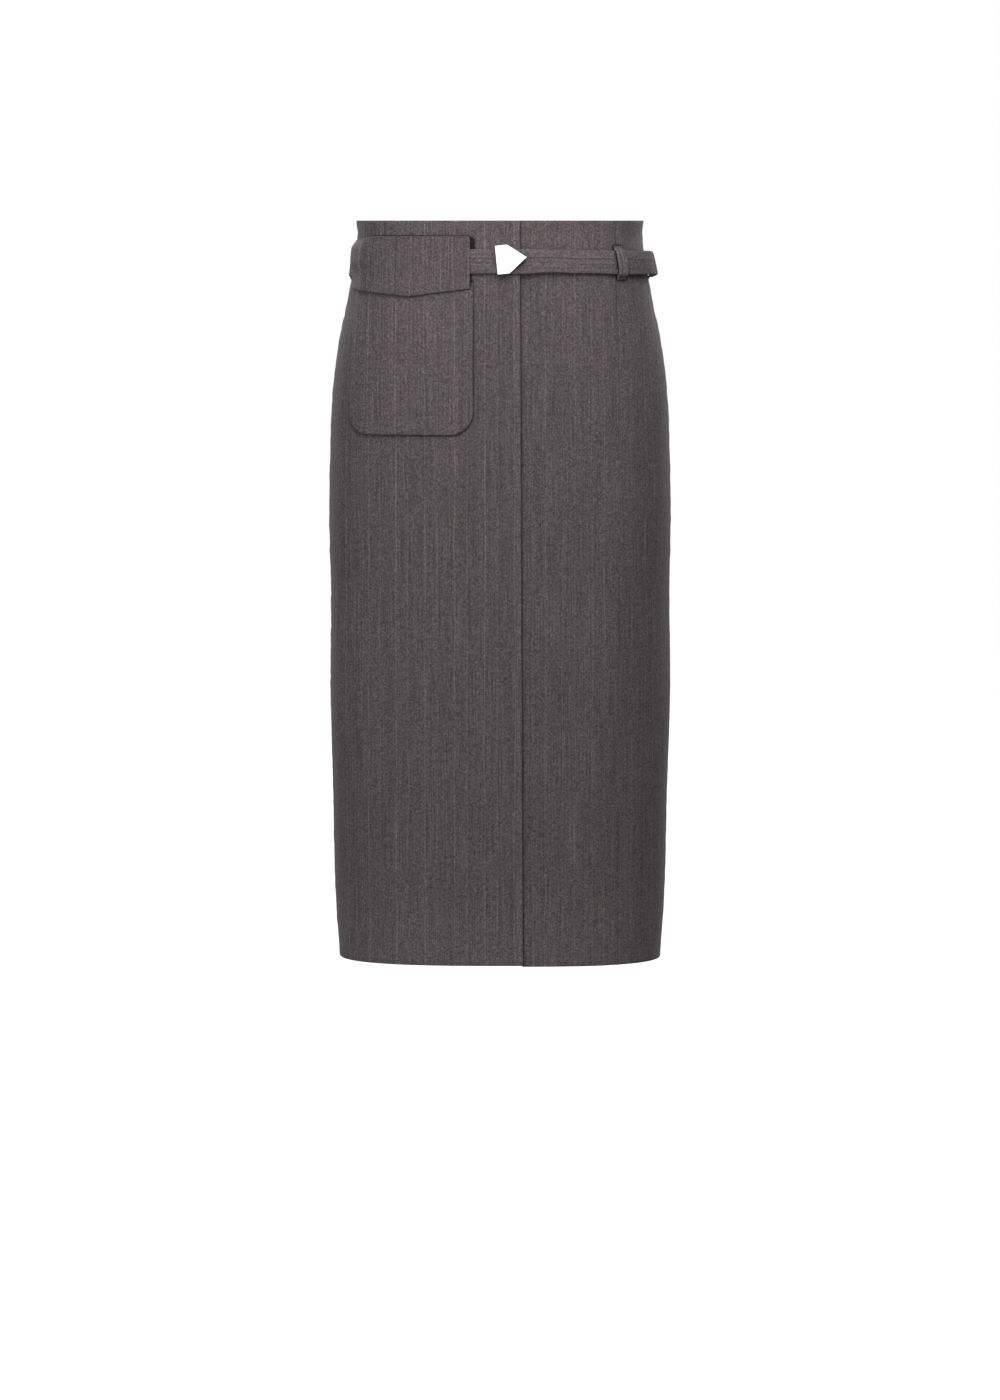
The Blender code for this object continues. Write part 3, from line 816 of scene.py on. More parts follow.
beltShape = {
    "height": 0.0250,
    "thick": 0.0020,
    "joinWalk": 0.006,
    "joinGap": 0.0006,
    "columns": 330,
    "roll": 0.0009,
    "paintedBandLight": 0.08,  # painted light on the strip along its upper edge
    # painted shade along its crease
    "paintedCreaseShade": -0.10,
    "paintedFarShade": -0.14,  # painted shade on the belt right of the front loop
    "farTurns": (0.66, 0.74, 1.1, 1.3),
    # painted shade where the belt turns away at the sides
    "paintedSideLight": -0.52,
    "sideTurns": (0.72, 0.88, 1.0, 1.3),
    "stripeFrom": 0.0082,
    "stitchShare": 0.815,  # the row of stitches, as a share of the height
    # its rows between the rolled edges, as shares of the height
    "rows": (
        0.08, 0.13, 0.18, 0.23, 0.28, 0.31, 0.335, 0.35, 0.365, 0.385, 0.42, 0.48, 0.55, 0.62, 0.69, 0.75,
        0.785, 0.80, 0.815, 0.83, 0.845, 0.88, 0.92,
    ),
    # how far it stands off the cloth round the body: turn, at its upper edge, at its lower edge
    "ease": (
        (-2.00, 0.0010, 0.0010),
        (-1.50, 0.0012, 0.0014),
        (-1.15, 0.0014, 0.0006),
        (-0.90, 0.0012, 0.0003),
        (-0.60, 0.0013, 0.0013),
        (-0.30, 0.0009, 0.0009),
        (0.00, 0.0009, 0.0010),
        (0.30, 0.0010, 0.0011),
        (0.72, 0.0031, 0.0035),
        (1.00, 0.0066, 0.0077),
        (1.35, 0.0030, 0.0040),
        (1.70, 0.0012, 0.0014),
        (2.00, 0.0010, 0.0010),
    ),
    # form of its face from the upper edge down: share of the height, millimetres out
    "face": (
        (0.00, -0.35), (0.10, -0.16), (0.22, -0.02), (0.30, 0.10), (0.335, 0.12), (0.365, -0.14),
        (0.40, -0.06), (0.55, 0.06), (0.70, 0.08), (0.78, 0.04), (0.815, -0.10), (0.85, 0.04),
        (0.94, 0.08), (1.00, 0.0),
    ),
    # how far its lower edge sags, round the body: turn, millimetres
    "sag": (
        (-2.0, 0.2), (-1.6, -0.4), (-1.2, 0.3), (-0.8, 0.1), (-0.4, 0.0), (-0.15, 0.2), (0.02, 0.2),
        (0.13, 0.5), (0.21, -0.7), (0.30, -1.1), (0.37, -0.4), (0.43, -0.8), (0.52, -0.6), (0.60, -0.3),
        (0.80, -0.9), (1.0, -1.7), (1.3, -1.0), (1.65, 0.3), (2.0, 0.2),
    ),
    # it dips at the sides: turn, millimetres
    "dip": (
        (-2.0, 0.8), (-1.5, 1.6), (-1.0, 2.6), (-0.6, 1.1), (-0.25, 0.1), (0.0, 0.0), (0.25, 0.1),
        (0.6, 1.3), (1.0, 3.2), (1.5, 1.8), (2.0, 0.8),
    ),
}
beltTopDrop = skirtForm["waistDrop"] - beltShape["height"] / 2
beltFootDrop = skirtForm["waistDrop"] + beltShape["height"] / 2


def beltCurve(key, turn, column=1):
    # one of the belt's values round the body
    rows = np.array(beltShape[key])
    return smoothCurve(shortTurn(turn), rows[:, 0], rows[:, column])


def beltEase(turn, share):
    top, foot = beltCurve("ease", turn), beltCurve("ease", turn, 2)
    return top + (foot - top) * share


def beltDip(turn):
    return beltCurve("dip", turn) / 1000


def beltSag(turn):
    return beltCurve("sag", turn) / 1000


def clearOfBelt(turn, drop):
    share = np.clip((drop - beltTopDrop - beltDip(turn)) / beltShape["height"], 0.0, 1.0)
    return beltEase(turn, share) + beltShape["thick"] + skirtForm["layGap"]


def beltPlace(turn, share):
    # drop and outer face at a share of the height
    face = np.array(beltShape["face"])
    drop = beltTopDrop + beltDip(turn) + beltShape["height"] * share + beltSag(turn) * share**2
    out = beltEase(turn, share) + beltShape["thick"] + smoothCurve(share, face[:, 0], face[:, 1]) / 1000
    return drop, out


def makeBelt():
    waist = skirtForm["waistDrop"]
    start = (beltShape["joinWalk"] + beltShape["joinGap"] / 2) / girth(waist)
    length = 4.0 - beltShape["joinGap"] / girth(waist)
    roll = beltShape["roll"] / girth(waist)
    columns = np.linspace(start + roll, start + length - roll, beltShape["columns"])
    columns = withRolls(start, columns, start + length, roll)
    edge = beltShape["roll"] / beltShape["height"]
    shares = np.concatenate([edge * rollSteps, beltShape["rows"], (1 - edge * rollSteps)[::-1]])
    turn, share = np.meshgrid(columns, shares)
    drop, out = beltPlace(turn, share)
    along, height = (turn - start) * girth(waist), share * beltShape["height"]
    # painted light on the upper strip; painted shade along the crease, right of the front loop and at the
    # sides
    light = beltShape["paintedBandLight"] * (1 - eased(share, 0.30, 0.36))
    light = light + beltShape["paintedCreaseShade"] * bell(share - 0.38, 0.03)
    light = light + beltShape["paintedFarShade"] * between(turn, *beltShape["farTurns"])
    light = light + beltShape["paintedSideLight"] * between(turn, *beltShape["sideTurns"])
    walk, stripe = height + stretches["beltStrap"], height + beltShape["stripeFrom"]
    cloth = {"walk": walk, "stripe": stripe, "drop": along, "light": light}
    belt = shellMesh("beltStrap", turn, drop, out, beltShape["thick"], beltingFinish, cloth)
    return place(belt, "belting", "belt")


beltStrap = makeBelt()

loopShape = {
    "turns": {
        "belt_loop_front": 0.629,
        "belt_loop_right": 1.0,
        "belt_loop_back_right": 1.58,
        "belt_loop_back_left": -1.58,
        "belt_loop_left": -1.0,
    },
    "names": {
        "belt_loop_front": "loopFront",
        "belt_loop_right": "loopRight",
        "belt_loop_back_right": "loopBackRight",
        "belt_loop_back_left": "loopBackLeft",
        "belt_loop_left": "loopLeft",
    },
    "width": 0.0115,
    "thick": 0.0014,
    "roll": 0.0006,
    "sunk": 0.0003,  # it is pressed into the belt
    "topDrop": 0.0255,
    "sideTopDrop": 0.0318,
    "footDrop": 0.0612,
    # how far its middle bows out from the belt
    "bow": {"belt_loop_front": 0.0012, "belt_loop_back_right": 0.0006, "belt_loop_back_left": 0.0005},
    "footFuller": 1.5,
    "crown": 0.00015,
    "rows": 84,
    # painted light on the loop's face, painted shade at its turned-in ends, and at the side loops painted
    # shade on the face with a painted highlight on the edges
    "light": 0.08,
    "paintedEndShade": -0.45,
    "paintedHighlights": ((0.0047, 0.0006, 0.10), (-0.0035, 0.0018, 0.12)),  # painted highlights along the loop: place, half width, light
    "paintedSideLight": -0.40,
    "paintedSideEdgeLight": 0.55,
    "stripeFrom": 0.009,
}


def atSide(node):
    return abs(loopShape["turns"][node]) == 1.0


def loopTop(node, turn):
    return loopShape["sideTopDrop"] if atSide(node) else loopShape["topDrop"] + beltDip(turn) * 0.5


def loopPath(node, turn):
    # its middle line from the top end to the foot: drops and distances out, and how thick it is there
    half = loopShape["thick"] / 2
    lie = half - loopShape["sunk"]
    bow = loopShape["bow"].get(node, 0.0)
    dip = float(beltDip(turn))
    upper, lower = beltTopDrop + dip, beltFootDrop + dip + float(beltSag(turn))
    outUpper, outLower = (
        float(beltEase(turn, share)) + beltShape["thick"] - loopShape["sunk"] for share in (0.0, 1.0)
    )
    top = float(loopTop(node, turn))
    rise = upper - half + 0.0001
    points = [
        (min(top, rise - 0.0002), lie),
        (min(top + 0.0012, rise), lie + 0.0004),
        (rise, lie + 0.45 * (outUpper - lie)),
        (rise + 0.0004, outUpper - 0.0006),
        (upper + 0.0006, outUpper + half - 0.0003),
        (upper + 0.0030, outUpper + half + 0.0001 + 0.4 * bow),
        ((upper + lower) / 2, (outUpper + outLower) / 2 + half + 0.0002 + bow),
        (lower - 0.0035, outLower + half + 0.0001 + 0.4 * bow),
        (lower - 0.0006, outLower + half),
        (lower + half - 0.0002, outLower - 0.0004),
        (lower + half + 0.0003, lie + 0.60 * (outLower - lie)),
        (lower + half + 0.0010, lie + 0.15 * (outLower - lie)),
        (lower + half + 0.0020, lie),
        (max(loopShape["footDrop"], lower + half + 0.0034), lie),
    ]
    drops, outs = np.array(points).T
    walked = np.concatenate([[0.0], np.cumsum(np.hypot(np.diff(drops), np.diff(outs)))])
    # the turned-in end makes the foot thicker where the loop has far to go back to the panel
    middle = (walked[-4] + walked[-3]) / 2
    fuller = loopShape["footFuller"] * min(1.0, (outLower - lie) / 0.008)
    roll, end = loopShape["roll"], walked[-1]
    steps = withRolls(0.0, np.linspace(roll, end - roll, loopShape["rows"]), end, roll)
    fat = 1 + fuller * bell(steps - middle, 0.0028)
    return steps, np.interp(steps, walked, drops), np.interp(steps, walked, outs), fat


def softened(values, times=3):
    # rounds the corners of a path, and keeps its ends
    for _ in range(times):
        inner = (values[:-2] + 2 * values[1:-1] + values[2:]) / 4
        values = np.concatenate([values[:1], inner, values[-1:]])
    return values


def makeLoop(node, turnMiddle):
    width = loopShape["width"]
    places = spread(-width / 2, width / 2, loopShape["roll"], 0.0012)
    steps, drops, outs, fat = loopPath(node, turnMiddle)
    drops, outs = softened(drops), softened(outs)
    downward, away = np.gradient(drops, steps), np.gradient(outs, steps)
    length = np.hypot(downward, away)
    normalDrop, normalOut = -away / length, downward / length
    across, drop = np.meshgrid(places, drops)
    # it follows the belt's own slope where the body turns
    slope = beltEase(turnMiddle + across / girth(drop), 0.5) - beltEase(turnMiddle, 0.5)
    lift = np.clip((outs - outs[0]) / (outs.max() - outs[0]), 0.0, 1.0)[:, None]
    crown = loopShape["crown"] * (1 - (2 * across / width) ** 2) * lift
    out = outs[:, None] + slope * lift + crown
    shares = edgeShares(len(drops))[:, None] * edgeShares(len(places))[None, :]
    faces = []
    for side in (1, -1):
        offset = side * loopShape["thick"] / 2 * shares * fat[:, None]
        dropHere = drop + normalDrop[:, None] * offset
        turn = turnMiddle + across / girth(dropHere)
        faces.append(clothPoints(turn, dropHere, out + normalOut[:, None] * offset))
    run = steps[:, None]
    # painted light on the face, painted shade at the ends, painted highlight lines, and painted side
    # shading
    light = loopShape["light"] + loopShape["paintedEndShade"] * bell(np.minimum(run, run[-1] - run), 0.0030)
    for ridge, half, lighter in loopShape["paintedHighlights"]:
        light = light + lighter * bell(across - ridge, half) * lift
    if atSide(node):
        edge = bell(np.abs(across) - width / 2, 0.0005)
        light = light + loopShape["paintedSideLight"] + loopShape["paintedSideEdgeLight"] * edge
    walk, stripe = across + stretches["loop"] + turnMiddle, across + loopShape["stripeFrom"]
    cloth = {"walk": walk, "stripe": stripe, "drop": run, "light": light}
    loop = closedMesh(loopShape["names"][node], *faces, beltingFinish, cloth)
    return place(loop, "belting", node)


beltLoops = [makeLoop(node, turn) for node, turn in loopShape["turns"].items()]
print("belt and loops ready:", round(clothArea(beltStrap), 4), round(clothArea(beltLoops[0]), 5))

pocketShape = {
    "rightWalk": -0.0277,
    "width": 0.1375,
    "topDrop": 0.0640,
    "bottomDrop": 0.2206,
    "corner": 0.024,
    "wall": 0.0015,
    "fullness": 0.0018,
    "roll": 0.0007,
    "allowance": 0.0085,  # folded under along the edges, where the cloth is double
    "allowanceRise": 0.00022,
    "tuck": 0.00025,  # its sewn edge is drawn in
    "tuckReach": 0.0022,
    "ripple": 0.00010,
    "rippleReach": 0.012,
    "step": 0.0035,
    "rows": 42,
    "cornerRows": 17,
}


def pocketOut(walk, drop):
    across = (pocketShape["rightWalk"] - walk) / pocketShape["width"]
    down = (drop - pocketShape["topDrop"]) / (pocketShape["bottomDrop"] - pocketShape["topDrop"])
    inside = (across > 0) & (across < 1)
    across = np.clip(across, 0.0, 1.0)
    full = np.maximum(np.sin(math.pi * across) * np.cos(math.pi / 2 * np.clip(down, 0.0, 1.0)), 0.0)
    return skirtForm["layGap"] + pocketShape["fullness"] * full**0.6 * inside


def pocketDepth(walk, drop):
    # distance inside the pocket's outline
    corner = pocketShape["corner"]
    middleWalk = pocketShape["rightWalk"] - pocketShape["width"] / 2
    x = np.abs(walk - middleWalk) - (pocketShape["width"] / 2 - corner)
    y = drop - (pocketShape["bottomDrop"] - corner)
    return np.minimum(corner - cornerGap(x, y), drop - pocketShape["topDrop"])


def makePocket():
    corner, roll = pocketShape["corner"], pocketShape["roll"]
    straight = pocketShape["bottomDrop"] - pocketShape["topDrop"] - corner
    upper = np.linspace(roll, straight, pocketShape["rows"])[:-1]
    foot = straight + corner * np.sin(np.linspace(0.0, math.pi / 2, pocketShape["cornerRows"]))
    downs = np.sort(withRolls(0.0, np.concatenate([upper, foot[:-1]]), foot[-1], roll))
    drop = pocketShape["topDrop"] + downs
    below = np.maximum(0.0, downs - straight)
    pulledIn = corner - np.sqrt(np.maximum(corner**2 - below**2, 0.0))
    left = pocketShape["rightWalk"] - pocketShape["width"] + pulledIn
    right = pocketShape["rightWalk"] - pulledIn
    inner = np.linspace(0.0, 1.0, round(pocketShape["width"] / pocketShape["step"]) + 1)
    starts, ends = left + roll, right - roll
    columns = [left + roll * k for k in rollSteps[:-1]]
    columns += [starts + (ends - starts) * k for k in inner]
    columns += [right - roll * k for k in rollSteps[:-1][::-1]]
    walk = np.stack(columns, -1)
    drop = np.broadcast_to(drop[:, None], walk.shape)
    inside = np.clip(pocketDepth(walk, drop), 0.0, None)
    shares = np.sqrt(1 - (1 - np.clip(inside / roll, 0, 1)) ** 2)
    shares[0, :] = shares[-1, :] = 0.0
    shares[:, 0] = shares[:, -1] = 0.0
    allowance = pocketShape["allowance"]
    edgeRise = pocketShape["allowanceRise"] * (1 - eased(inside, allowance - 0.0012, allowance + 0.0012))
    tucked = pocketShape["tuck"] * (1 - eased(inside, 0.0, pocketShape["tuckReach"]))
    ripple = pocketShape["ripple"] * np.sin(drop * 2 * math.pi / 0.021 + walk * 55)
    ripple = ripple * bell(inside, pocketShape["rippleReach"])
    turn = walk / girth(drop)
    wall = pocketShape["wall"]
    middle = pocketOut(walk, drop) + wall / 2 + edgeRise - tucked + ripple
    cloth = {"walk": walk + stretches["pocketPatch"], "stripe": -walk, "drop": drop}
    pocket = shellMesh("pocketPatch", turn, drop, None, wall, pocketFinish, cloth, shares, middle)
    return place(pocket, "suiting", "pocket")


pocketPatch = makePocket()

flapShape = {
    "rightWalk": -0.0310,
    "width": 0.1446,
    "topDrop": 0.0154,
    "topFall": 0.0042,
    "fallShare": 0.3,
    "bottomDrop": 0.0700,
    "point": 0.0080,
    "pointShare": 0.565,
    "overhangWalks": (-0.172, -0.165),
    "wall": 0.0015,
    "roll": 0.0007,
    "step": 0.0032,
    "gap": 0.0003,  # behind its sewn end
    "foldSide": 0.0008,  # radius of the fold at its top, at the side and at the centre
    "foldCentre": 0.0015,
    "sewnIn": 0.0040,  # length of cloth behind the fold
    "cornerRadius": 0.0040,
    "cornerShadeWidth": 0.0040,  # how much wider the painted shadow beside that corner is
    "cornerDrops": (0.0160, 0.0190, 0.0290, 0.0330),
    "endRise": 0.0026,  # its left end stands off the belt
    "endWalks": (-0.172, -0.113),
    "endDrops": (0.041, 0.055),
    "ridgeWalk": -0.1500,  # it bends here to go round the side
    "ridgeRise": 0.0009,
    "ridgeHalf": 0.0050,
    "ridgeDrops": (0.026, 0.034),
    "sag": 0.0004,
    "sagDrops": (0.055, 0.075),
    "ripple": 0.00016,
    "ripplePitch": 0.047,
    "rippleDrops": (0.050, 0.078),
    "downRoll": 0.012,  # rows down its front, as shares of its height
    "downStep": 0.042,
    "stripeFrom": -0.0140,
    "light": -0.045,
    "paintedSideLight": 0.22,  # painted light left of the bend
    # painted shade along the bend, a painted highlight on the right edge, and painted shade along the top
    # fold
    "paintedCreaseShade": -0.20,
    "paintedEdgeLight": 0.14,
    "paintedFoldShade": -0.32,
}


def flapTop(across):
    return flapShape["topDrop"] + flapShape["topFall"] * (1 - eased(across, 0.0, flapShape["fallShare"]))


def flapBottom(across):
    share = flapShape["pointShare"]
    side = np.where(across < share, share, 1 - share)
    return flapShape["bottomDrop"] + flapShape["point"] * (1 - np.abs(across - share) / side)


def flapLies(walk, drop, top, start):
    # its inner face: out by start just below the fold, over the belt, then on the pocket
    overBelt = clearOfBelt(walk / girth(drop), drop)
    atEnd = (1 - eased(walk, *flapShape["endWalks"])) * (1 - eased(drop, *flapShape["endDrops"]))
    overBelt = overBelt + flapShape["endRise"] * atEnd
    overPocket = pocketOut(walk, drop) + pocketShape["wall"] + skirtForm["layGap"]
    fallen = skirtForm["layGap"] + flapShape["gap"]
    overPocket = fallen + (overPocket - fallen) * eased(walk, *flapShape["overhangWalks"])
    out = overBelt + (overPocket - overBelt) * eased(drop, beltFootDrop, pocketShape["topDrop"])
    return start + (out - start) * eased(drop, top, beltTopDrop - skirtForm["layGap"])


def makeFlap():
    width, wall, roll, gap = (flapShape[key] for key in ("width", "wall", "roll", "gap"))
    across = spread(0.0, 1.0, roll / width, flapShape["step"] / width)[None, :]
    top, bottom = flapTop(across), flapBottom(across)
    foldSide, foldCentre, sewnIn = (flapShape[key] for key in ("foldSide", "foldCentre", "sewnIn"))
    fold = foldSide + (foldCentre - foldSide) * eased(across, 0.02, 0.35)
    start = top + wall / 2 + fold
    behind = gap + wall / 2
    # rows up behind the fold, round it and down the front: drop, and middle of the wall where it is given
    rows = [(start + sewnIn - roll * k, behind + 0 * top) for k in rollSteps[:-1]]
    rows += [(start + (sewnIn - roll) * k, behind + 0 * top) for k in np.linspace(1.0, 0.0, 4)[:-1]]
    for angle in np.radians(np.linspace(0, 165, 12)):
        rows.append((top + wall / 2 + fold * (1 - np.sin(angle)), behind + fold * (1 - np.cos(angle))))
    downFront = spread(0.0, 1.0, flapShape["downRoll"], flapShape["downStep"])[len(rollSteps) - 1:]
    rows += [(start + (bottom - start) * k, None) for k in downFront]
    drops = np.concatenate([drop for drop, given in rows])
    front = np.array([given is None for drop, given in rows])[:, None]
    fallen = drops - top
    # its upper corner at the right is rounded
    corner = flapShape["cornerRadius"]
    cut = corner - np.sqrt(np.maximum(corner**2 - (corner - np.clip(fallen, 0, corner)) ** 2, 0.0))
    right = flapShape["rightWalk"]
    walk = right - width * (1 - across) - cut * eased(across, 1 - 2.5 * corner / width, 1.0)
    middle = []
    for i, (drop, given) in enumerate(rows):
        if given is None:
            given = flapLies(walk[i:i + 1], drop, top, gap + 2 * fold) + wall / 2
        middle.append(given)
    ridge = flapShape["ridgeRise"] * bell(walk - flapShape["ridgeWalk"], flapShape["ridgeHalf"])
    ridge = ridge * eased(drops, *flapShape["ridgeDrops"])
    sag = flapShape["sag"] * np.sin(math.pi * across) * eased(drops, *flapShape["sagDrops"])
    ripple = flapShape["ripple"] * np.sin(walk * 2 * math.pi / flapShape["ripplePitch"] + 0.8)
    ripple = ripple * eased(drops, *flapShape["rippleDrops"])
    middle = np.concatenate(middle) + (ridge + sag + ripple) * front
    # painted light left of the bend and on the right edge, painted shade along the bend and the top fold
    past = walk - flapShape["ridgeWalk"]
    light = flapShape["light"] + flapShape["paintedSideLight"] * (1 - eased(past, -0.004, 0.001))
    light = light + flapShape["paintedCreaseShade"] * bell(past - 0.002, 0.0020)
    light = light + flapShape["paintedEdgeLight"] * eased(walk, right - 0.003, right)
    light = light * front + flapShape["paintedFoldShade"] * bell(fallen, 0.0021)
    stripe = flapShape["stripeFrom"] - walk
    cloth = {"walk": walk + stretches["pocketFlap"], "stripe": stripe, "drop": drops, "light": light}
    turn = walk / girth(drops)
    flap = shellMesh("pocketFlap", turn, drops, None, wall, pocketFinish, cloth, None, middle)
    return place(flap, "suiting", "pocket_flap")


pocketFlap = makeFlap()
print("pocket and flap ready:", round(clothArea(pocketPatch), 4), round(clothArea(pocketFlap), 4))

plateShape = {
    "height": 0.0302,
    "length": 0.0322,
    "flat": 0.0127,
    "thick": 0.0024,
    "bevel": 0.0006,  # its front edges are rounded by this much
    "corner": 0.0010,
    "left": -0.0041,  # its straight left edge, from the centre front
    "drop": 0.0408,  # its middle
    "tilt": math.radians(5.5),
}


def makePlate():
    half = plateShape["height"] / 2
    flat, length = plateShape["flat"], plateShape["length"]
    corners = [(0.0, -half), (flat, -half), (length, 0.0), (flat, half), (0.0, half)]
    outline = []
    for i, corner in enumerate(corners):
        here = Vector(corner)
        before = (Vector(corners[i - 1]) - here).normalized() * plateShape["corner"]
        after = (Vector(corners[(i + 1) % len(corners)]) - here).normalized() * plateShape["corner"]
        outline += [here + before * (1 - t) ** 2 + after * t**2 for t in np.linspace(0, 1, 7)]
    curve = bpy.data.curves.new("beltPlate", "CURVE")
    curve.dimensions = "2D"
    curve.fill_mode = "BOTH"
    curve.extrude = plateShape["thick"] / 2 - plateShape["bevel"]
    curve.bevel_depth = plateShape["bevel"]
    curve.bevel_resolution = 4
    curve.offset = -plateShape["bevel"]
    spline = curve.splines.new("POLY")
    spline.points.add(len(outline) - 1)
    for point, corner in zip(spline.points, outline):
        point.co = (corner.x, corner.y, 0.0, 1.0)
    spline.use_cyclic_u = True
    drawn = linked("plateCurve", curve)
    bpy.context.view_layer.update()
    mesh = bpy.data.meshes.new_from_object(drawn.evaluated_get(bpy.context.evaluated_depsgraph_get()))
    bpy.data.objects.remove(drawn)
    mesh.name = "beltPlate"
    mesh.shade_smooth()
    mesh.set_sharp_from_angle(angle=math.radians(40))
    mesh.materials.clear()
    mesh.materials.append(polishedPlate)
    plate = linked("beltPlate", mesh)
    front = clothPoints(0.0, beltFootDrop, beltEase(0.0, 1.0) + beltShape["thick"])[1]
    plate.location = (
        plateShape["left"],
        front - skirtForm["layGap"] - plateShape["thick"] / 2,
        skirtForm["waistDrop"] - plateShape["drop"],
    )
    plate.rotation_euler = (math.pi / 2, -plateShape["tilt"], 0.0)
    return place(plate, "plate", "belt_plate")


makePlate()
print("plate ready")

# Beside each piece that lies on another, and along the seams and darts, the cloth gets a narrow painted
# shade. These are added to the distance from that piece's edge, so more makes the painted shade narrower.
paintedShadeOffsets = {
    "aboveBelt": 0.0015,
    "belowBelt": 0.0027,
    "pocket": 0.0004,
    "pocketMouth": -0.002,  # it starts this far above the pocket's mouth
    "flapTop": 0.0008,
    "flapRight": -0.0005,
    "flapLeft": 0.0008,
    "flapFoot": 0.0013,
    "sideSeam": 0.0006,
    "dart": 0.0013,
    "dartFade": 0.12,  # times the distance down from three quarters of the dart
    "loop": -0.0006,
    "plate": 0.0024,
}


def boxGap(x, y, left, right, top, bottom, corner):
    # distance outside a box with rounded corners, with a minus inside it
    across = np.abs(x - (left + right) / 2) - (right - left) / 2 + corner
    down = np.abs(y - (top + bottom) / 2) - (bottom - top) / 2 + corner
    return cornerGap(across, down) - corner


def toBelt(turn, drop):
    level = drop - beltDip(turn)
    below = level - beltFootDrop - beltSag(turn) + paintedShadeOffsets["belowBelt"]
    above = beltTopDrop - level + paintedShadeOffsets["aboveBelt"]
    return np.where(level > skirtForm["waistDrop"], below, above)


def toPocket(turn, drop):
    right, bottom, corner = pocketShape["rightWalk"], pocketShape["bottomDrop"], pocketShape["corner"]
    aboveSkirt = -0.1  # the box goes up past the skirt, and the last line ends the painted shade at the mouth
    gap = boxGap(turn * girth(drop), drop, right - pocketShape["width"], right, aboveSkirt, bottom, corner)
    return np.maximum(gap, pocketShape["topDrop"] + paintedShadeOffsets["pocketMouth"] - drop) + paintedShadeOffsets["pocket"]


def toFlap(turn, drop):
    walk = turn * girth(drop)
    right, left = flapShape["rightWalk"], flapShape["rightWalk"] - flapShape["width"]
    across = np.clip((walk - left) / flapShape["width"], 0.0, 1.0)
    # its upper right corner stands off the skirt, so the painted shadow there is wide
    corner = flapShape["cornerShadeWidth"] * between(drop, *flapShape["cornerDrops"])
    return np.maximum.reduce([
        flapTop(across) - drop + paintedShadeOffsets["flapTop"],
        walk - right - corner + paintedShadeOffsets["flapRight"],
        left - walk + paintedShadeOffsets["flapLeft"],
        drop - flapBottom(across) + paintedShadeOffsets["flapFoot"],
    ])


def toWrapEdge(turn, drop):
    return (turn - wrapEdge(drop)) * girth(drop)


def toSideSeam(turn, drop):
    return seamDistance(turn, drop) + paintedShadeOffsets["sideSeam"]


def toDart(side):
    def gap(turn, drop):
        away = np.abs(shortTurn(turn - side * darts["frontWalk"] / girth(drop))) * girth(drop)
        below = np.maximum(0.0, drop - 0.75 * darts["frontLength"])  # it fades out towards the dart's end
        return away + paintedShadeOffsets["dart"] + paintedShadeOffsets["dartFade"] * below

    return gap


def toLoop(node):
    def gap(turn, drop):
        across = shortTurn(turn - loopShape["turns"][node]) * girth(drop)
        half = loopShape["width"] / 2
        foot = loopShape["footDrop"]
        return boxGap(across, drop, -half, half, loopTop(node, turn), foot, 0.001) + paintedShadeOffsets["loop"]

    return gap


def toPlate(turn, drop):
    # the plate is a box with a pointed right end
    x = turn * girth(drop) - plateShape["left"]
    y = drop - plateShape["drop"]
    tilt = plateShape["tilt"]
    x, y = x * math.cos(tilt) + y * math.sin(tilt), y * math.cos(tilt) - x * math.sin(tilt)
    half, point = plateShape["height"] / 2, plateShape["length"] - plateShape["flat"]
    slant = ((x - plateShape["flat"]) * half + (np.abs(y) - half) * point) / math.hypot(half, point)
    gap = np.maximum.reduce([-x, np.abs(y) - half, slant])
    return np.where(np.abs(turn) < 0.5, gap + paintedShadeOffsets["plate"], 1.0)


# paints shade on a piece's outer face, darkest beside the nearest piece, seam or dart
def paintShadeBeside(piece, *gaps):
    turn, drop = grids[piece.name]
    gap = np.minimum.reduce([distance(turn, drop) for distance in gaps])
    paintedShadeNear = np.zeros(len(piece.data.vertices))  # the inner face stays at 0
    paintedShadeNear[: len(turn)] = np.clip(1 - gap / paintedContactShade["reach"], 0.0, 2.0)
    setValues(piece.data, "paintedShadeNear", paintedShadeNear)


toLoops = {node: toLoop(node) for node in loopShape["turns"]}
besideWrap = (toBelt, toPocket, toFlap, toPlate, toSideSeam, toLoops["belt_loop_left"], toDart(-1))
besideUnder = (
    toBelt, toWrapEdge, toSideSeam, toLoops["belt_loop_front"], toLoops["belt_loop_right"], toDart(1),
)
paintShadeBeside(frontWrap, *besideWrap)
paintShadeBeside(frontUnder, *besideUnder)
paintShadeBeside(backPanel, toBelt, toSideSeam, *toLoops.values())
paintShadeBeside(pocketPatch, toFlap)
paintShadeBeside(beltStrap, toFlap, toPlate, *toLoops.values())
print("hollows ready")

stitchShape = {
    "length": 0.0027,
    "gap": 0.0007,
    "radius": 0.00024,
    "sides": 6,
    "rings": (-1.0, -0.72, 0.0, 0.72, 1.0),  # places along a stitch, and its thickness there
    "fat": (0.35, 0.9, 1.0, 0.9, 0.35),
    "inset": 0.002,  # from the start of the run to its first stitch
}


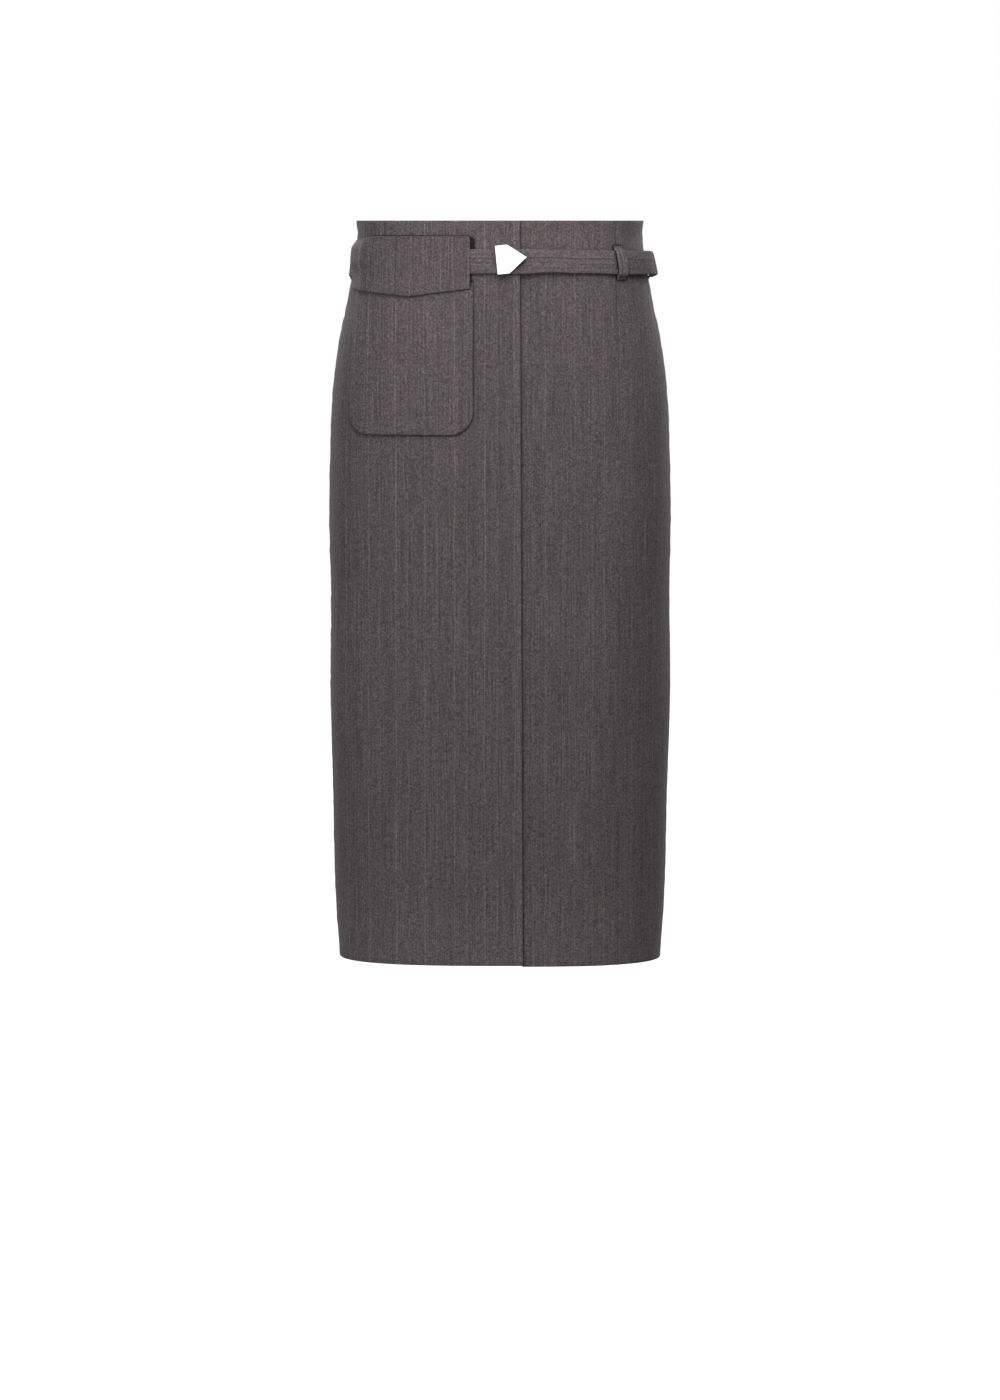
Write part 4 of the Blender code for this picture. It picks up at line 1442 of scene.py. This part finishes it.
def stitchRun(name, path, length, slot):
    # path(s) gives points for distances s along the run, and a second set just above them
    pitch = stitchShape["length"] + stitchShape["gap"]
    middles = np.arange(pitch / 2, length, pitch)
    rings = np.array(stitchShape["rings"])
    fat = np.array(stitchShape["fat"]) * stitchShape["radius"]
    s = middles[:, None] + rings[None, :] * stitchShape["length"] / 2
    points, above = path(s)
    ahead = path(s + 0.0004)[0]
    along = ahead - points
    along /= np.linalg.norm(along, axis=-1, keepdims=True)
    up = above - points
    up /= np.linalg.norm(up, axis=-1, keepdims=True)
    side = np.cross(along, up)
    sunk = stitchShape["radius"] * (0.75 - 1.5 * rings**4)
    centre = points + up * sunk[None, :, None]
    angles = np.arange(stitchShape["sides"]) * 2 * math.pi / stitchShape["sides"]
    circle = (
        centre[:, :, None, :]
        + side[:, :, None, :] * (np.cos(angles)[None, None, :, None] * fat[None, :, None, None])
        + up[:, :, None, :] * (np.sin(angles)[None, None, :, None] * fat[None, :, None, None])
    )
    count, ringCount, sides = circle.shape[:3]
    index = np.arange(count * ringCount * sides).reshape(count, ringCount, sides)
    following = np.roll(index, -1, axis=2)
    walls = np.stack([index[:, :-1], following[:, :-1], following[:, 1:], index[:, 1:]], -1).reshape(-1, 4)
    faces = walls.tolist() + index[:, 0, ::-1].tolist() + index[:, -1].tolist()
    mesh = bpy.data.meshes.new(name)
    mesh.from_pydata(circle.reshape(-1, 3).tolist(), [], faces)
    mesh.shade_smooth()
    mesh.materials.append(sewingThread)
    return place(linked(name, mesh), slot)


def wrapStitchPath(s):
    drop = np.clip(s + stitchShape["inset"], 0.0, skirtForm["length"])
    turn = wrapStitchLine(drop)
    out = wrapRelief(turn, drop)
    return clothPoints(turn, drop, out), clothPoints(turn, drop, out + 0.001)


def beltStitchPath(s):
    turn = (beltShape["joinWalk"] + stitchShape["inset"] + s) / girth(skirtForm["waistDrop"])
    drop, out = beltPlace(turn, np.full_like(s, beltShape["stitchShare"]))
    return clothPoints(turn, drop, out), clothPoints(turn, drop, out + 0.001)


wrapStitches = stitchRun("wrapStitches", wrapStitchPath, skirtForm["length"] - 0.004, "suiting")
beltRun = 4 * girth(skirtForm["waistDrop"]) - 0.03
beltStitches = stitchRun("beltStitches", beltStitchPath, beltRun, "belting")
print("stitches ready")

# Width and length of each piece's cut, without seam allowances
cuts = {
    "frontWrap": (0.2700, 0.772),
    "frontUnder": (0.3460, 0.7735),
    "backPanel": (0.5050, 0.772),
    "pocketPatch": (0.1380, 0.160),
    "pocketFlap": (0.1455, 0.073),
    "beltStrap": (0.8350, 0.025),
    "loop": (0.0115, 0.046),
}


def cutCloth(piece, key=None):
    width, length = cuts[key or piece.name]
    area = min(clothArea(piece), width * length)


cutCloth(frontWrap)
cutCloth(frontUnder)
cutCloth(backPanel)
cutCloth(pocketPatch)
cutCloth(pocketFlap)
cutCloth(beltStrap)
for loop in beltLoops:
    cutCloth(loop, "loop")

studio = {
    "floorDrop": 0.55,  # below the hem, as on a standing wearer
    "floorColor": (0.93, 0.93, 0.93),
    "background": 1.0,
    "ambient": 0.155,
    "ambientColor": (1.0, 0.99, 0.98, 1.0),
    # name, place, what it is aimed at, size, watts
    "lights": (
        ("upperRight", (0.5, -1.3, 1.2), (0.0, 0.0, -0.15), (1.0, 0.8), 15.2),
        ("top", (0.0, -0.9, 1.5), (0.0, 0.0, -0.10), (1.2, 0.8), 12.2),
        ("left", (-1.6, -1.6, -0.2), (0.0, 0.0, -0.30), (0.9, 1.4), 11.5),
        ("front", (0.0, -6.4, 0.8), (0.0, 0.0, -0.30), (3.2, 2.4), 56.0),
        ("rearLeft", (-1.6, 2.0, 0.9), (0.0, 0.0, -0.30), (1.2, 1.6), 34.0),
        ("rearRight", (1.6, 2.0, 0.9), (0.0, 0.0, -0.30), (1.2, 1.6), 32.0),
    ),
}


def makeFloor():
    bpy.ops.mesh.primitive_circle_add(vertices=96, radius=9.0, fill_type="NGON")
    floor = bpy.context.active_object
    floor.name = "studioFloor"
    floor.location = (0.0, 0.0, skirtForm["waistDrop"] - skirtForm["length"] - studio["floorDrop"])
    material, shader, feed, put, calc = newFinish("paleFloor")
    feed(shader, {
        "Base Color": (*studio["floorColor"], 1.0),
        "Roughness": 0.9,
        "Emission Color": (1.0, 1.0, 1.0, 1.0),
        "Emission Strength": 1.0,
    })
    floor.data.materials.append(material)
    floor.visible_diffuse = False  # it is only a bright ground to look at, and lights nothing
    floor.visible_glossy = False


def makeWorld():
    world = bpy.data.worlds.new("studio")
    bpy.context.scene.world = world
    world.use_nodes = True
    feed, put, calc = nodeKit(world)
    nodes = world.node_tree.nodes
    # the camera sees a white ground, and the skirt gets only a little light from it
    seen = feed(nodes["Background"], {"Color": (1.0, 1.0, 1.0, 1.0), "Strength": studio["background"]})
    lit = put("ShaderNodeBackground", {"Color": studio["ambientColor"], "Strength": studio["ambient"]})
    ray = put("ShaderNodeLightPath", {}).outputs["Is Camera Ray"]
    mixed = put("ShaderNodeMixShader", {0: ray, 1: lit.outputs[0], 2: seen.outputs[0]})
    feed(nodes["World Output"], {"Surface": mixed.outputs[0]})


def makeLights():
    for name, spot, target, size, watts in studio["lights"]:
        data = bpy.data.lights.new(name, "AREA")
        data.shape = "RECTANGLE"
        data.size, data.size_y = size
        data.energy = watts
        light = linked(name, data)
        light.location = spot
        light.rotation_euler = (Vector(target) - Vector(spot)).to_track_quat("-Z", "Y").to_euler()
        light.visible_camera = False


photoView = {
    "distance": 5.8,
    "height": 0.042,
    "focalPixels": 5524,  # the lens in the photograph's own pixels
    "longPixels": 1400,
    "middlePixels": 479.5,  # the photograph's middle is this far below the skirt's top edge
    "sensor": 36.0,  # mm, the long side
}


def makeCamera():
    data = bpy.data.cameras.new("photoCamera")
    data.lens = photoView["sensor"] * photoView["focalPixels"] / photoView["longPixels"]
    data.sensor_width = photoView["sensor"]
    data.clip_end = 60.0
    camera = linked("photoCamera", data)
    camera.location = (0.0, -photoView["distance"], photoView["height"])
    tilt = math.atan(photoView["middlePixels"] / photoView["focalPixels"])
    camera.rotation_euler = (math.pi / 2 - tilt, 0.0, 0.0)
    bpy.context.scene.camera = camera


makeFloor()
makeWorld()
makeLights()
makeCamera()
bpy.context.scene.view_settings.view_transform = "Standard"
bpy.context.scene.view_settings.look = "None"
print("studio ready")
